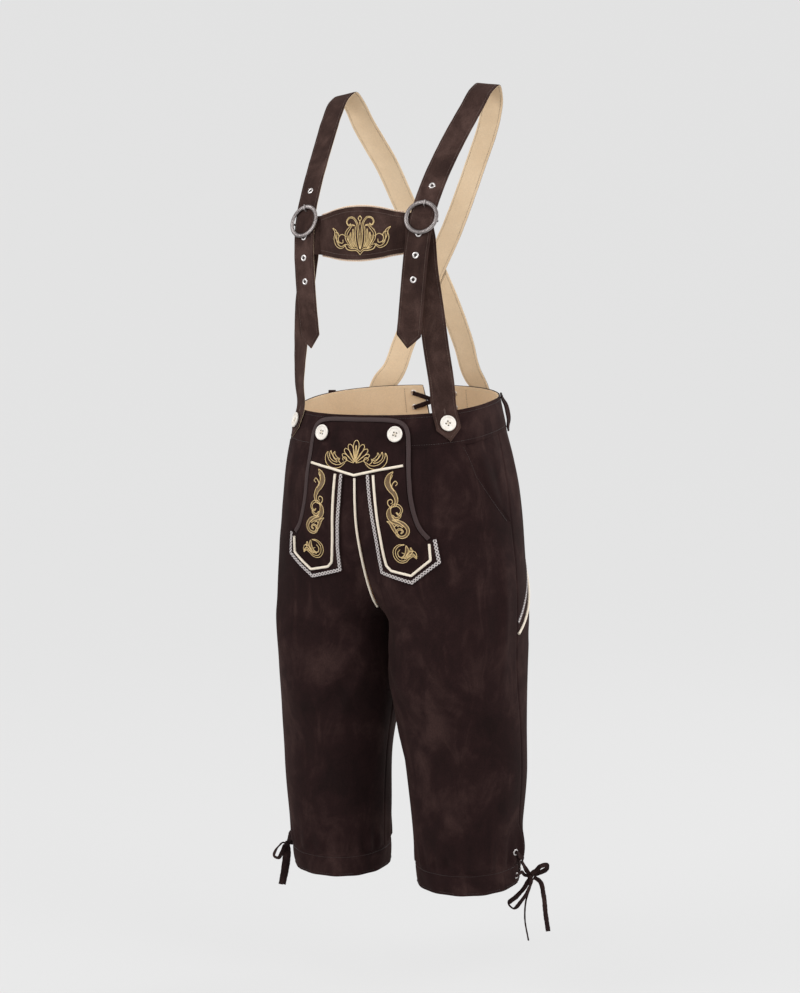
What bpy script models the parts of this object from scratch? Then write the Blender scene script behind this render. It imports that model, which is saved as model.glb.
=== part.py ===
"""Lederhosen: knee-length suede trousers with a fall front, braces, buckles and laced cuffs.

The origin is the centre of the waistband's top edge. +X is the wearer's left, -Y the front and +Z up.
Lengths are in metres. The trousers are walls lofted through rings that stand for the girths of the cut.
"""

import math

import bmesh
import bpy
import numpy as np
from mathutils import Vector

for old in list(bpy.data.objects):
    bpy.data.objects.remove(old)
solids = bpy.data.collections.new("lederhosen")
cutters = bpy.data.collections.new("cutters")
bpy.context.scene.collection.children.link(solids)
bpy.context.scene.collection.children.link(cutters)

# ---- Driving sizes ----
# The gap between pieces that share a seam, and the gap between a piece and the one that it lies on.
SEAM_GAP = 0.0003
LAYER_GAP = 0.0004

CLOTH = 0.0020
FACING_THICKNESS = 0.0010
WAISTBAND_HEIGHT = 0.050
OUTSEAM = 0.756
LEG_RADIUS = 0.080
CUFF_HEIGHT = 0.035
CUFF_LIFT = 0.0005
CUFF_THICKNESS = 0.0026
SLIT_HEIGHT = 0.058
SLIT_HALF_WIDTH = 0.0035
BACK_GAP_TOP = 0.021
BACK_GAP_BOTTOM = 0.014
FLAP_THICKNESS = 0.0014
FLAP_LIFT = 0.0008
FLAP_FLARE = 0.004
FLAP_BOW = 0.0010
FLAP_LENGTH = 0.260
FLAP_BUTTON = (0.0630, 0.0280)
BINDING_WIDTH = 0.007
BINDING_THICKNESS = 0.0022
BINDING_GAP = 0.0012
PIPING_RADIUS = 0.0020
BRAID_WIDTH = 0.0065
BRAID_THICKNESS = 0.0010
STRAP_WIDTH = 0.038
STRAP_THICKNESS = 0.0026
LOWER_STRAP_THICKNESS = 0.0018
STRAP_POINT = 0.019
STRAP_TIP = 0.0004
EYELET_HOLE_RADIUS = 0.0024
EYELET_PLACES = (0.0540, 0.0170, -0.0245, -0.0565, -0.0925)
BUCKLE_RADIUS = 0.0235
BUCKLE_BAND = 0.0060
BUCKLE_DEPTH = 0.0030
BAR_RADIUS = 0.0015
BAR_SETBACK = STRAP_THICKNESS / 2 + 4 * LAYER_GAP + LOWER_STRAP_THICKNESS + BAR_RADIUS
PRONG_RADIUS = 0.0011
BUTTON_RADIUS = 0.0120
BUTTON_THICKNESS = 0.0038
BUTTON_DISH = 0.0010
BUTTON_INSET = 0.027
BACK_BUTTON_LIFT = 0.0013
LACE_RADIUS = 0.0020
LACE_CROSSING = 0.0048
KNOT_RADIUS = 0.0060
MERGE_DISTANCE = 0.00001  # points of a turned piece nearer than this are joined
NORMAL_STEP = 0.001  # how far out a second point is taken to find which way a surface faces
TRIM_SPACING = 0.014  # points along piping, braid and the flap's columns stand no further apart
YOKE_SPACING = 0.020
BRAID_SPACING = 0.012
COLUMN_LEAST = (0.0022, 0.0009)  # least distance between the flap's columns, and where a corner needs one
SHOULDER_MARGIN = 0.001  # the flap's curved edge stops this far before its shoulder
SEAT_METRES_PER_DEGREE = 0.003  # girth of the seat for one degree, to space the arc's points evenly
STRAP_CROSSING_HEIGHT = 0.210  # the straps cross behind at this height, and part over this reach
STRAP_CROSSING_REACH = 0.080
STRAP_WAIST_LIFT = 0.0008
LOWER_STRAP_WAIST_LIFT = 0.0007
LOOK_AHEAD = 0.004  # the step along a band that gives its upward direction
CUTTER_LENGTH = 0.012
LOWER_STRAP_TAIL = 0.005  # what hangs behind the bar, and what is straight before it
LOWER_STRAP_FRONT = 0.006
STRAP_SPAN = (0.035, 0.032, 34)  # rows of the strap between its points: from its start, from its end, how many
LOWER_STRAP_FOLD = (0.020, 13)  # the fold over the bar: its length and rows
LOWER_STRAP_SPAN = (0.028, 0.024, 18)
BUTTON_RIM = (0.0035, 0.0020, 0.0008)  # from the button's edge in to where its rim starts, rises and ends
PRONG_CLEARANCE = 0.0005
PRONG_BENDS = ((-0.0060, -0.0062), (-0.0012, -0.0036), (0.0, 0.0), (0.0010, 0.0032), (0.0024, 0.0060))

# One row for each girth of the left half, from the waist down. drop is the distance below the waist, tilt
# the rise toward the back, outer and inner the reach in X, front and back the reach in Y from centre_y,
# front_square and back_square the exponents of the section's two halves, lean its shear and seam the side
# seam's angle toward the back.
RING_COLUMNS = (
    "drop", "tilt", "outer", "inner", "centre_y", "front", "back",
    "front_square", "back_square", "lean", "seam",
)
RINGS = (
    (0.000, 0.171, 0.1625, -0.1625, 0.000, 0.1245, 0.1150, 2.35, 2.15, 0.00, 0),
    (0.050, 0.165, 0.1720, -0.1720, 0.000, 0.1320, 0.1240, 2.60, 2.20, 0.00, 0),
    (0.100, 0.150, 0.1825, -0.1825, 0.000, 0.1385, 0.1340, 2.60, 2.25, 0.00, 0),
    (0.150, 0.135, 0.1910, -0.1500, 0.000, 0.1370, 0.1400, 2.40, 2.25, 0.00, 0),
    (0.200, 0.115, 0.1965, -0.1030, 0.000, 0.1300, 0.1430, 2.25, 2.25, 0.00, 0),
    (0.250, 0.100, 0.2005, -0.0640, 0.002, 0.1225, 0.1400, 2.25, 2.20, 0.00, 0),
    (0.285, 0.090, 0.2020, -0.0370, 0.003, 0.1185, 0.1350, 2.30, 2.20, 0.00, 0),
    (0.310, 0.085, 0.2030, -0.0185, 0.004, 0.1180, 0.1300, 2.30, 2.20, 0.00, 0),
    (0.337, 0.080, 0.2040, 0.0010, 0.004, 0.1175, 0.1255, 2.30, 2.20, 0.00, 0),
    (0.420, 0.072, 0.2050, 0.0060, 0.003, 0.1130, 0.1160, 2.20, 2.15, 0.02, 1),
    (0.500, 0.066, 0.2060, 0.0170, 0.003, 0.1000, 0.1020, 2.10, 2.10, 0.06, 4),
    (0.575, 0.063, 0.2063, 0.0275, 0.0046, 0.0900, 0.0910, 2.10, 2.10, 0.085, 8),
    (0.670, 0.063, 0.1997, 0.0337, 0.0086, 0.0830, 0.0840, 2.10, 2.10, 0.05, 12),
    (0.756, 0.063, 0.1930, 0.0370, 0.0156, 0.0780, 0.0780, 2.10, 2.10, 0.035, 15),
)

# The flap's outer edge on the left side, from the top centre down its side.
FLAP_EDGE_COLUMNS = ("x", "drop")
FLAP_EDGE = (
    (0.0000, 0.0025),
    (0.0300, 0.0025),
    (0.0550, 0.0040),
    (0.0690, 0.0075),
    (0.0790, 0.0150),
    (0.0845, 0.0265),
    (0.0870, 0.0420),
    (0.0890, 0.0640),
    (0.0920, 0.0940),
    (0.0945, 0.1210),
    (0.1000, 0.1480),
    (0.1085, 0.1715),
    (0.1190, 0.1860),
)
# The flap below its binding, and its lower edge from the middle to the outer corner of the left leg.
FLAP_SHOULDER = ((0.1128, 0.1934), (0.1200, 0.1900), (0.1272, 0.1868), (0.1306, 0.2050), (0.1330, 0.2230))
FLAP_LEG = ((0.0000, 0.0935), (0.0205, 0.0915), (0.0238, 0.1300), (0.0288, 0.1700), (0.0323, 0.2050),
            (0.0342, 0.2486), (0.0872, 0.2626), (0.1332, 0.2277))
PIPING_V = ((0.0000, 0.0900), (0.0400, 0.0812), (0.0790, 0.0745))
PIPING_TAB = ((0.0330, 0.0890), (0.0355, 0.1155), (0.0395, 0.1610), (0.0435, 0.2005), (0.0462, 0.2200),
              (0.0485, 0.2325), (0.0560, 0.2405), (0.0880, 0.2475), (0.1185, 0.2220), (0.1172, 0.1965))
BRAID_TAB = ((0.0237, 0.0955), (0.0270, 0.1300), (0.0320, 0.1700), (0.0355, 0.2050), (0.0375, 0.2455),
             (0.0875, 0.2590), (0.1300, 0.2255), (0.1245, 0.1900))
PIPING_CENTRE_DROPS = (0.0965, 0.1300, 0.1700, 0.2100, 0.2450, 0.2750, 0.3000, 0.3130)

# The seat arcs on the back, as the angle toward the back from the side in degrees and the drop.
SEAT_BRAID = ((1.0, 0.339), (25.0, 0.288), (50.0, 0.226), (68.0, 0.157), (77.0, 0.100), (80.0, 0.053))
SEAT_PIPING = ((1.0, 0.357), (12.0, 0.343), (25.0, 0.321), (50.0, 0.256), (71.0, 0.167), (81.0, 0.100), (84.0, 0.053))

# The left strap from its hanging point up through the buckle, over the shoulder and down across the back.
STRAP_COLUMNS = ("x", "y", "z", "face_x", "face_y", "face_z")
STRAP = (
    (0.0840, -0.1270, 0.080, 0.17, -0.98, 0.00),
    (0.0895, -0.1275, 0.130, 0.17, -0.98, 0.00),
    (0.0940, -0.1270, 0.180, 0.17, -0.98, 0.02),
    (0.0975, -0.1250, 0.222, 0.17, -0.96, 0.15),
    (0.1016, -0.1148, 0.272, 0.17, -0.93, 0.33),
    (0.1065, -0.0880, 0.325, 0.17, -0.88, 0.45),
    (0.1115, -0.0600, 0.366, 0.17, -0.80, 0.55),
    (0.1170, -0.0310, 0.404, 0.17, -0.75, 0.62),
    (0.1235, 0.0010, 0.443, 0.16, -0.66, 0.74),
    (0.1265, 0.0290, 0.4725, 0.14, -0.40, 0.90),
    (0.1265, 0.0540, 0.4830, 0.12, 0.25, 0.96),
    (0.1230, 0.0715, 0.4670, 0.14, 0.75, 0.60),
    (0.1150, 0.0825, 0.4410, 0.17, 0.92, 0.30),
    (0.1010, 0.0930, 0.4110, 0.19, 0.96, 0.18),
    (0.0845, 0.1010, 0.3800, 0.18, 0.97, 0.12),
    (0.0570, 0.1080, 0.3200, 0.13, 0.98, 0.06),
    (0.0330, 0.1115, 0.268, 0.07, 0.99, 0.03),
    (0.0030, 0.1120, 0.210, 0.00, 1.00, 0.02),
    (-0.0270, 0.1120, 0.150, -0.05, 1.00, 0.00),
    (-0.0560, 0.1110, 0.085, -0.08, 1.00, 0.00),
    (-0.0755, 0.1095, 0.040, -0.12, 0.99, 0.00),
)
STRAP_CROSSING_SHIFT = 0.0018  # the crossing straps stand this far from their middle
STRAP_WAIST_POINTS = ((-0.0870, -0.004), (-0.0955, 0.014), (-0.1045, 0.034))

# The free part of the left lower strap; it then lies on the waistband.
LOWER_STRAP = (
    (0.0995, -0.1060, 0.240, 0.17, -0.98, 0.05),
    (0.1030, -0.1065, 0.200, 0.21, -0.97, 0.00),
    (0.1120, -0.1060, 0.140, 0.34, -0.94, 0.00),
    (0.1190, -0.1020, 0.080, 0.48, -0.88, 0.00),
    (0.1250, -0.0965, 0.030, 0.60, -0.80, 0.00),
)
LOWER_STRAP_ANGLES = ((42.0, 0.003), (41.0, 0.017), (40.0, 0.043))

# The chest panel, as half its reach in X, the height of its edges and how far forward it bows.
CHEST_COLUMNS = ("x", "top", "bottom", "y")
CHEST = (
    (0.0000, 0.2905, 0.2125, -0.1290),
    (0.0200, 0.2895, 0.2135, -0.1285),
    (0.0400, 0.2865, 0.2160, -0.1262),
    (0.0600, 0.2820, 0.2200, -0.1215),
    (0.0742, 0.2797, 0.2222, -0.1155),
)
CHEST_TAB = (
    (0.0752, 0.2585, 0.2226, -0.1160),
    (0.0800, 0.2550, 0.2230, -0.1192),
    (0.0850, 0.2540, 0.2235, -0.1192),
)
CHEST_THICKNESS = 0.0016
CHEST_TRIM = 0.0035
TRIM_THICKNESS = 0.0010
TRIM_REACH = 0.0735

# The pocket slit, as the angle forward from the side in degrees and the drop.
POCKET_SLIT = ((30.3, 0.047), (26.4, 0.068), (22.5, 0.101), (13.5, 0.141), (0.5, 0.186))
POCKET_FACING_DEPTH = 0.0008
POCKET_FACING_THICKNESS = 0.0016

# Belt loops stand off the side of the waistband, as drop and height above it.
BELT_LOOP_ANGLE = -22.0
BELT_LOOP_WIDTH = 0.014
BELT_LOOP_THICKNESS = 0.0024
BELT_LOOP = ((-0.003, 0.0006), (0.006, 0.0014), (0.016, 0.0046), (0.028, 0.0054), (0.040, 0.0046),
             (0.050, 0.0014), (0.057, 0.0006))

# The waist lace crosses inside the back slit: X and drop of the eyelets.
WAIST_EYELET_X = 0.038
WAIST_EYELET_DROPS = (0.012, 0.036)

# The cuff's two lacings run from the eyelets in the slit's front edge to the knot. Each point is the angle
# from the seam in degrees, the drop and the height above the cloth.
CUFF_LACING = {
    "cuff_lacing_upper": ((12.5, 0.7005, 0.0024), (10.0, 0.7040, 0.0028), (7.0, 0.7090, 0.0028),
                          (4.0, 0.7145, 0.0030), (1.5, 0.7205, 0.0050), (0.0, 0.7260, 0.0075)),
    "cuff_lacing_lower": ((9.0, 0.7415, 0.0029), (6.5, 0.7405, 0.0036), (3.0, 0.7385, 0.0056)),
}

# Routes of each cuff's loops and tails from its knot, which hangs by the outer seam, just above the hem.
# Each starts and ends with the direction in which it leaves the knot. X grows away from the middle.
CUFF_ROUTES = {
    "left": {
        "knot": (0.2085, 0.0500, -0.7460),
        "lacing": {"cuff_lacing_upper": (-0.55, -0.35, 0.76), "cuff_lacing_lower": (-0.93, -0.35, 0.10)},
        "loops": {
            "cuff_loop_upper": ((0.40, -0.50, 0.77), (0.2170, 0.0455, -0.7330), (0.2290, 0.0450, -0.7215),
                                (0.2375, 0.0480, -0.7215), (0.2355, 0.0530, -0.7300), (0.80, 0.45, 0.40)),
            "cuff_loop_lower": ((-0.35, -0.55, -0.75), (0.2025, 0.0400, -0.7610), (0.1920, 0.0310, -0.7760),
                                (0.1810, 0.0260, -0.7890), (0.1880, 0.0275, -0.7950), (0.1990, 0.0340, -0.7830),
                                (0.2080, 0.0410, -0.7640), (0.30, -0.75, -0.60)),
        },
        "tails": {
            "cuff_tail_wide": ((0.90, 0.20, -0.40), (0.2210, 0.0520, -0.7520), (0.2290, 0.0515, -0.7740),
                               (0.2330, 0.0505, -0.8020), (0.2380, 0.0500, -0.8300)),
            "cuff_tail_thin": ((-0.10, 0.60, -0.80), (0.2040, 0.0560, -0.7640), (0.1970, 0.0550, -0.7880),
                               (0.1965, 0.0520, -0.8150), (0.2040, 0.0500, -0.8500)),
        },
    },
    "right": {
        "knot": (0.2220, 0.0140, -0.7411),
        "lacing": {"cuff_lacing_upper": (-0.62, 0.15, 0.77), "cuff_lacing_lower": (-0.95, 0.25, 0.10)},
        "loops": {
            "cuff_loop_upper": ((0.05, 0.60, 0.80), (0.2245, 0.0280, -0.7251), (0.2237, 0.0400, -0.7225),
                                (0.2178, 0.0400, -0.7313), (-0.10, 0.98, 0.15)),
            "cuff_loop_lower": ((0.85, -0.50, 0.10), (0.2305, 0.0045, -0.7425), (0.2328, -0.0060, -0.7497),
                                (0.2333, -0.0100, -0.7589), (0.2270, -0.0085, -0.7615), (0.2235, 0.0000, -0.7515),
                                (0.25, -0.85, -0.45)),
        },
        "tails": {
            "cuff_tail_wide": ((0.10, -0.25, -0.96), (0.2235, 0.0090, -0.7573), (0.2253, 0.0080, -0.7724),
                               (0.2271, 0.0060, -0.7908), (0.2298, 0.0040, -0.8094)),
            "cuff_tail_thin": ((0.15, 0.45, -0.88), (0.2253, 0.0220, -0.7604), (0.2285, 0.0235, -0.7800),
                               (0.2315, 0.0220, -0.7980), (0.2340, 0.0190, -0.8140)),
        },
    },
}


# ---- Surface of the trousers ----
def blend(knots, values, at):
    """Monotone cubic through the knots, which keeps a table's curve free of overshoot."""
    knots = np.asarray(knots, float)
    values = np.asarray(values, float)
    steps = np.diff(knots)
    slopes = np.diff(values) / steps
    ends = np.zeros_like(values)
    ends[0] = slopes[0]
    ends[-1] = slopes[-1]
    for i in range(1, len(knots) - 1):
        if slopes[i - 1] * slopes[i] > 0:
            before = 2 * steps[i] + steps[i - 1]
            after = steps[i] + 2 * steps[i - 1]
            ends[i] = (before + after) / (before / slopes[i - 1] + after / slopes[i])
    at = np.asarray(at, float)
    cell = np.clip(np.searchsorted(knots, at) - 1, 0, len(steps) - 1)
    t = (at - knots[cell]) / steps[cell]
    rise = steps[cell] * (t * (1 - t) ** 2 * ends[cell] - t * t * (1 - t) * ends[cell + 1])
    return (1 + 2 * t) * (1 - t) ** 2 * values[cell] + t * t * (3 - 2 * t) * values[cell + 1] + rise


def ring(drop):
    """The section at this drop, as a dictionary with the ring table's column names."""
    table = np.array(RINGS)
    found = {name: blend(table[:, 0], table[:, i], drop) for i, name in enumerate(RING_COLUMNS)}
    found["centre_x"] = (found["outer"] + found["inner"]) / 2
    found["half_width"] = (found["outer"] - found["inner"]) / 2
    return found


def girth_point(angle, drop):
    """A point of the left half: angle 0 is the side, a quarter turn the front, minus a quarter the back."""
    at = ring(drop)
    across = np.cos(angle)
    forward = np.sin(angle)
    power = 2 / np.where(forward >= 0, at["front_square"], at["back_square"])
    depth = np.where(forward >= 0, at["front"], at["back"])
    y = -depth * np.sign(forward) * np.abs(forward) ** power
    x = at["centre_x"] + at["half_width"] * np.sign(across) * np.abs(across) ** power + at["lean"] * y
    y = y + at["centre_y"]
    return np.stack(np.broadcast_arrays(x, y, -at["drop"] + at["tilt"] * y), -1)


def front_point(x, drop):
    """A point of the trousers' front at this X, on the left side."""
    at = ring(drop)
    reach = np.clip(np.abs(x - at["centre_x"]) / at["half_width"], 0, 1)
    y = at["centre_y"] - at["front"] * (1 - reach ** at["front_square"]) ** (1 / at["front_square"])
    return np.stack(np.broadcast_arrays(x, y, -at["drop"] + at["tilt"] * y), -1)


def centre_angle(drop, toward):
    """The angle at which a section reaches the middle plane, or nearly half a turn below the crotch."""
    at = ring(drop)
    square = at["front_square"] if toward > 0 else at["back_square"]
    part = np.clip((SEAM_GAP / 2 - at["centre_x"]) / at["half_width"], -1, 1)
    angle = np.arccos(np.sign(part) * np.abs(part) ** (square / 2))
    return toward * np.minimum(angle, math.pi - SEAM_GAP / 2 / LEG_RADIUS)


def unit(vectors):
    return vectors / np.linalg.norm(vectors, axis=-1, keepdims=True)


def raised(surface, first, drop, height):
    """Points of a surface moved out along its normal by height."""
    first, drop, height = np.broadcast_arrays(np.asarray(first, float), drop, height)
    step = 1e-4
    along = surface(first + step, drop) - surface(first - step, drop)
    down = surface(first, drop + step) - surface(first, drop - step)
    normal = unit(np.cross(along, down))
    here = surface(first, drop)
    middle = np.array([0.10 * np.clip(drop / 0.3, 0, 1), 0 * drop, here[..., 2]])
    outward = here - np.moveaxis(middle, 0, -1)
    facing = np.sign((normal * outward).sum(-1))[..., None]
    return here + normal * facing * np.asarray(height)[..., None]


# ---- Building objects ----
def material_of(name, colour, roughness, metallic=0.0):
    made = bpy.data.materials.new(name)
    made.use_nodes = True
    shader = made.node_tree.nodes["Principled BSDF"]
    shader.inputs["Base Color"].default_value = (*colour, 1)
    shader.inputs["Roughness"].default_value = roughness
    shader.inputs["Metallic"].default_value = metallic
    made.diffuse_color = (*colour, 1)
    return made


FINISHES = {
    "suede": ((0.028, 0.017, 0.015), 0.95, 0.0),
    "strap_leather": ((0.048, 0.026, 0.021), 0.85, 0.0),
    "binding_leather": ((0.060, 0.034, 0.031), 0.60, 0.0),
    "lining": ((0.73, 0.54, 0.32), 0.80, 0.0),
    "piping": ((0.87, 0.75, 0.60), 0.70, 0.0),
    "braid": ((0.30, 0.27, 0.27), 0.80, 0.0),
    "button": ((0.87, 0.84, 0.80), 0.35, 0.0),
    "antique_silver": ((0.42, 0.39, 0.38), 0.40, 1.0),
    "lace": ((0.035, 0.020, 0.017), 0.80, 0.0),
}


def finish(thing, finish_name):
    """Gives the object its own material, puts it among the solids and shades it smooth."""
    thing.data.materials.append(material_of(thing.name, *FINISHES[finish_name]))
    solids.objects.link(thing)
    if thing.type == "MESH":
        thing.data.shade_smooth()
        thing.data.set_sharp_from_angle(angle=math.radians(40))
    return thing


def mirrored(points, side):
    return np.asarray(points) * np.array([side, 1.0, 1.0])


def wall(name, outer, inner, finish_name, closed=False):
    """A cloth wall between two grids of points, with rims, as one closed body.

    The grids are rows by columns by 3. A closed wall joins its last column to its first.
    """
    rows, columns = outer.shape[:2]
    points = np.concatenate([outer.reshape(-1, 3), inner.reshape(-1, 3)])
    index = np.arange(2 * rows * columns).reshape(2, rows, columns)
    if closed:
        index = np.concatenate([index, index[:, :, :1]], 2)
    faces = []
    for r in range(index.shape[1] - 1):
        for c in range(index.shape[2] - 1):
            faces.append([index[0, r, c], index[0, r, c + 1], index[0, r + 1, c + 1], index[0, r + 1, c]])
            faces.append([index[1, r, c], index[1, r + 1, c], index[1, r + 1, c + 1], index[1, r, c + 1]])
    for c in range(index.shape[2] - 1):
        faces.append([index[0, 0, c], index[1, 0, c], index[1, 0, c + 1], index[0, 0, c + 1]])
        faces.append([index[0, -1, c], index[0, -1, c + 1], index[1, -1, c + 1], index[1, -1, c]])
    if not closed:
        for r in range(index.shape[1] - 1):
            faces.append([index[0, r, 0], index[0, r + 1, 0], index[1, r + 1, 0], index[1, r, 0]])
            faces.append([index[0, r, -1], index[1, r, -1], index[1, r + 1, -1], index[0, r + 1, -1]])
    mesh = bpy.data.meshes.new(name)
    mesh.from_pydata(points.tolist(), [], [[int(i) for i in face] for face in faces])
    made = bmesh.new()
    made.from_mesh(mesh)
    bmesh.ops.recalc_face_normals(made, faces=made.faces)
    made.to_mesh(mesh)
    made.free()
    thing = bpy.data.objects.new(name, mesh)
    return finish(thing, finish_name)


def spline(points, places):
    """Points of a smooth curve through the given ones: at these distances, or this many evenly spaced."""
    points = np.asarray(points, float)
    length = np.concatenate([[0], np.cumsum(np.linalg.norm(np.diff(points[:, :3], axis=0), axis=1))])
    fine = np.linspace(0, length[-1], 12 * len(points))
    slope = np.gradient(points, length, axis=0)
    cell = np.clip(np.searchsorted(length, fine) - 1, 0, len(length) - 2)
    step = (length[cell + 1] - length[cell])[:, None]
    t = (fine - length[cell])[:, None] / step
    curve = (
        (1 + 2 * t) * (1 - t) ** 2 * points[cell]
        + t * (1 - t) ** 2 * step * slope[cell]
        + t * t * (3 - 2 * t) * points[cell + 1]
        - t * t * (1 - t) * step * slope[cell + 1]
    )
    run = np.concatenate([[0], np.cumsum(np.linalg.norm(np.diff(curve[:, :3], axis=0), axis=1))])
    if np.ndim(places) == 0:
        places = np.linspace(0, run[-1], places)
    return np.stack([np.interp(places, run, curve[:, i]) for i in range(points.shape[1])], 1)


def run_of(points):
    """The distance along a curve to each of its points."""
    points = np.asarray(points, float)[:, :3]
    return np.concatenate([[0], np.cumsum(np.linalg.norm(np.diff(points, axis=0), axis=1))])


def subdivided(points, spacing):
    """The same polyline with its corners kept and points no further apart than spacing."""
    points = np.asarray(points, float)
    made = [points[:1]]
    for start, end in zip(points[:-1], points[1:]):
        count = max(1, int(np.ceil(np.linalg.norm(end - start) / spacing)))
        made.append(start + (end - start) * (np.arange(1, count + 1) / count)[:, None])
    return np.concatenate(made)


def tube(name, points, radius, finish_name, sides=2, cyclic=False):
    """A round cord along the points."""
    curve = bpy.data.curves.new(name, "CURVE")
    curve.dimensions = "3D"
    curve.bevel_depth = radius
    curve.bevel_resolution = sides
    curve.use_fill_caps = not cyclic
    line = curve.splines.new("POLY")
    line.points.add(len(points) - 1)
    for place, point in zip(line.points, points):
        place.co = (*point, 1)
    line.use_cyclic_u = cyclic
    thing = bpy.data.objects.new(name, curve)
    return finish(thing, finish_name)


def turned(name, profile, place, face, finish_name, segments=14):
    """A round piece from a profile of radius and height, turned about the direction that it faces."""
    mesh = bpy.data.meshes.new(name)
    edges = [(i, i + 1) for i in range(len(profile) - 1)]
    mesh.from_pydata([(radius, 0, height) for radius, height in profile], edges, [])
    thing = bpy.data.objects.new(name, mesh)
    screw = thing.modifiers.new("turn", "SCREW")
    screw.steps = screw.render_steps = segments
    screw.use_merge_vertices = True
    screw.merge_threshold = MERGE_DISTANCE
    screw.use_smooth_shade = True
    thing.location = place
    thing.rotation_mode = "QUATERNION"
    thing.rotation_quaternion = Vector(face).to_track_quat("Z", "Y")
    return finish(thing, finish_name)


def ball(name, place, radius, finish_name):
    """A small round knot."""
    mesh = bpy.data.meshes.new(name)
    made = bmesh.new()
    bmesh.ops.create_uvsphere(made, u_segments=10, v_segments=7, radius=radius)
    made.to_mesh(mesh)
    made.free()
    thing = bpy.data.objects.new(name, mesh)
    thing.location = place
    return finish(thing, finish_name)


def ribbon(name, rows, places, width, thickness, finish_name, point_first=False, point_last=False, side=1):
    """A flat band along rows of position and facing direction, with pointed ends where asked."""
    line = spline(rows, places)
    centre = line[:, :3]
    tangent = unit(np.gradient(centre, axis=0))
    face = line[:, 3:]
    face = unit(face - (face * tangent).sum(1, keepdims=True) * tangent)
    across = np.cross(tangent, face)
    run = run_of(centre)
    half = np.full(len(run), width / 2)
    if point_first:
        half = np.minimum(half, width / 2 * (run + STRAP_TIP) / STRAP_POINT)
    if point_last:
        half = np.minimum(half, width / 2 * (run[-1] - run + STRAP_TIP) / STRAP_POINT)
    edges = centre[:, None] + np.stack([-half, half], 1)[..., None] * across[:, None]
    outer = edges + face[:, None] * thickness / 2
    inner = edges - face[:, None] * thickness / 2
    thing = wall(name, mirrored(outer, side), mirrored(inner, side), finish_name)
    return thing, mirrored(centre, side), mirrored(face, side)


# ---- Trousers ----
PANEL_DROPS = np.concatenate([
    (WAISTBAND_HEIGHT + SEAM_GAP / 2, 0.075, 0.100, 0.125, 0.150, 0.175, 0.200, 0.225, 0.250),
    (0.270, 0.289, 0.305, 0.318, 0.329, 0.337, 0.365, 0.400, 0.440, 0.485, 0.530),
    (0.575, 0.618, 0.660, OUTSEAM - SLIT_HEIGHT, OUTSEAM - CUFF_HEIGHT - SEAM_GAP / 2),
])
POCKET_DROPS = (WAISTBAND_HEIGHT + SEAM_GAP / 2, 0.075, 0.100, 0.125, 0.150, 0.170, 0.183)
PANEL_COLUMNS = 12
POCKET_COLUMNS = 5
CUFF_COLUMNS = 30
WAIST_COLUMNS = 44


def seam_opening(drop):
    """Half the width between the panels at the side seam, which opens into the slit above the hem."""
    slit_top = OUTSEAM - SLIT_HEIGHT
    opened = np.clip((drop - slit_top) / SLIT_HEIGHT, 0, 1)
    return SEAM_GAP / 2 + (SLIT_HALF_WIDTH - SEAM_GAP / 2) * opened ** 0.7


def side_angle(drop, toward):
    """The angle where the front (toward 1) or the back (toward -1) begins at the side seam."""
    at = ring(drop)
    seam = np.sin(np.radians(at["seam"])) ** (2 / at["back_square"])
    forward = -at["back"] * seam + toward * seam_opening(drop)
    depth = np.where(forward >= 0, at["front"], at["back"])
    square = np.where(forward >= 0, at["front_square"], at["back_square"])
    return np.sign(forward) * np.arcsin((np.abs(forward) / depth) ** (square / 2))


def slit_angle(drop):
    """The angle of the pocket slit, which ends at the side seam."""
    slit = np.array(POCKET_SLIT)
    angle = np.radians(np.interp(drop, slit[:, 1], slit[:, 0]))
    return np.where(drop < slit[-1, 1], angle, -math.pi)


def panel(name, side, toward, finish_name="suede"):
    """A front (toward 1) or back (toward -1) panel, from the side seam to the middle or inner seam."""
    drop = PANEL_DROPS[:, None]
    start = side_angle(drop, toward)
    if toward > 0:
        start = np.maximum(start, slit_angle(drop))
    end = centre_angle(drop, toward)
    share = np.linspace(0, 1, PANEL_COLUMNS)
    angle = start + (end - start) * share
    outer = raised(girth_point, angle, drop, 0.0)
    inner = raised(girth_point, angle, drop, -CLOTH)
    return wall(name, mirrored(outer, side), mirrored(inner, side), finish_name)


def pocket_facing(name, side):
    """The hip piece under the pocket slit, set in by the slit edge's depth."""
    drop = np.array(POCKET_DROPS)[:, None]
    start = side_angle(drop, 1)
    end = slit_angle(drop) - SEAM_GAP / ring(drop)["half_width"]
    angle = start + (end - start) * np.linspace(0, 1, POCKET_COLUMNS)
    depth = -POCKET_FACING_DEPTH
    outer = raised(girth_point, angle, drop, depth)
    inner = raised(girth_point, angle, drop, depth - POCKET_FACING_THICKNESS)
    return wall(name, mirrored(outer, side), mirrored(inner, side), "suede")


def waist_grid(drops, height):
    """Points round the waist from the left edge of the back slit to its right edge."""
    drop = np.asarray(drops)[:, None]
    gap = BACK_GAP_TOP + (BACK_GAP_BOTTOM - BACK_GAP_TOP) * drop / WAISTBAND_HEIGHT
    at = ring(drop)
    edge = np.arcsin(-((1 - (gap / at["half_width"]) ** at["back_square"]) ** 0.5))
    share = np.linspace(-1, 1, WAIST_COLUMNS)
    return raised(girth_point, math.pi / 2 + share * (math.pi / 2 - edge), drop, height)


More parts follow.
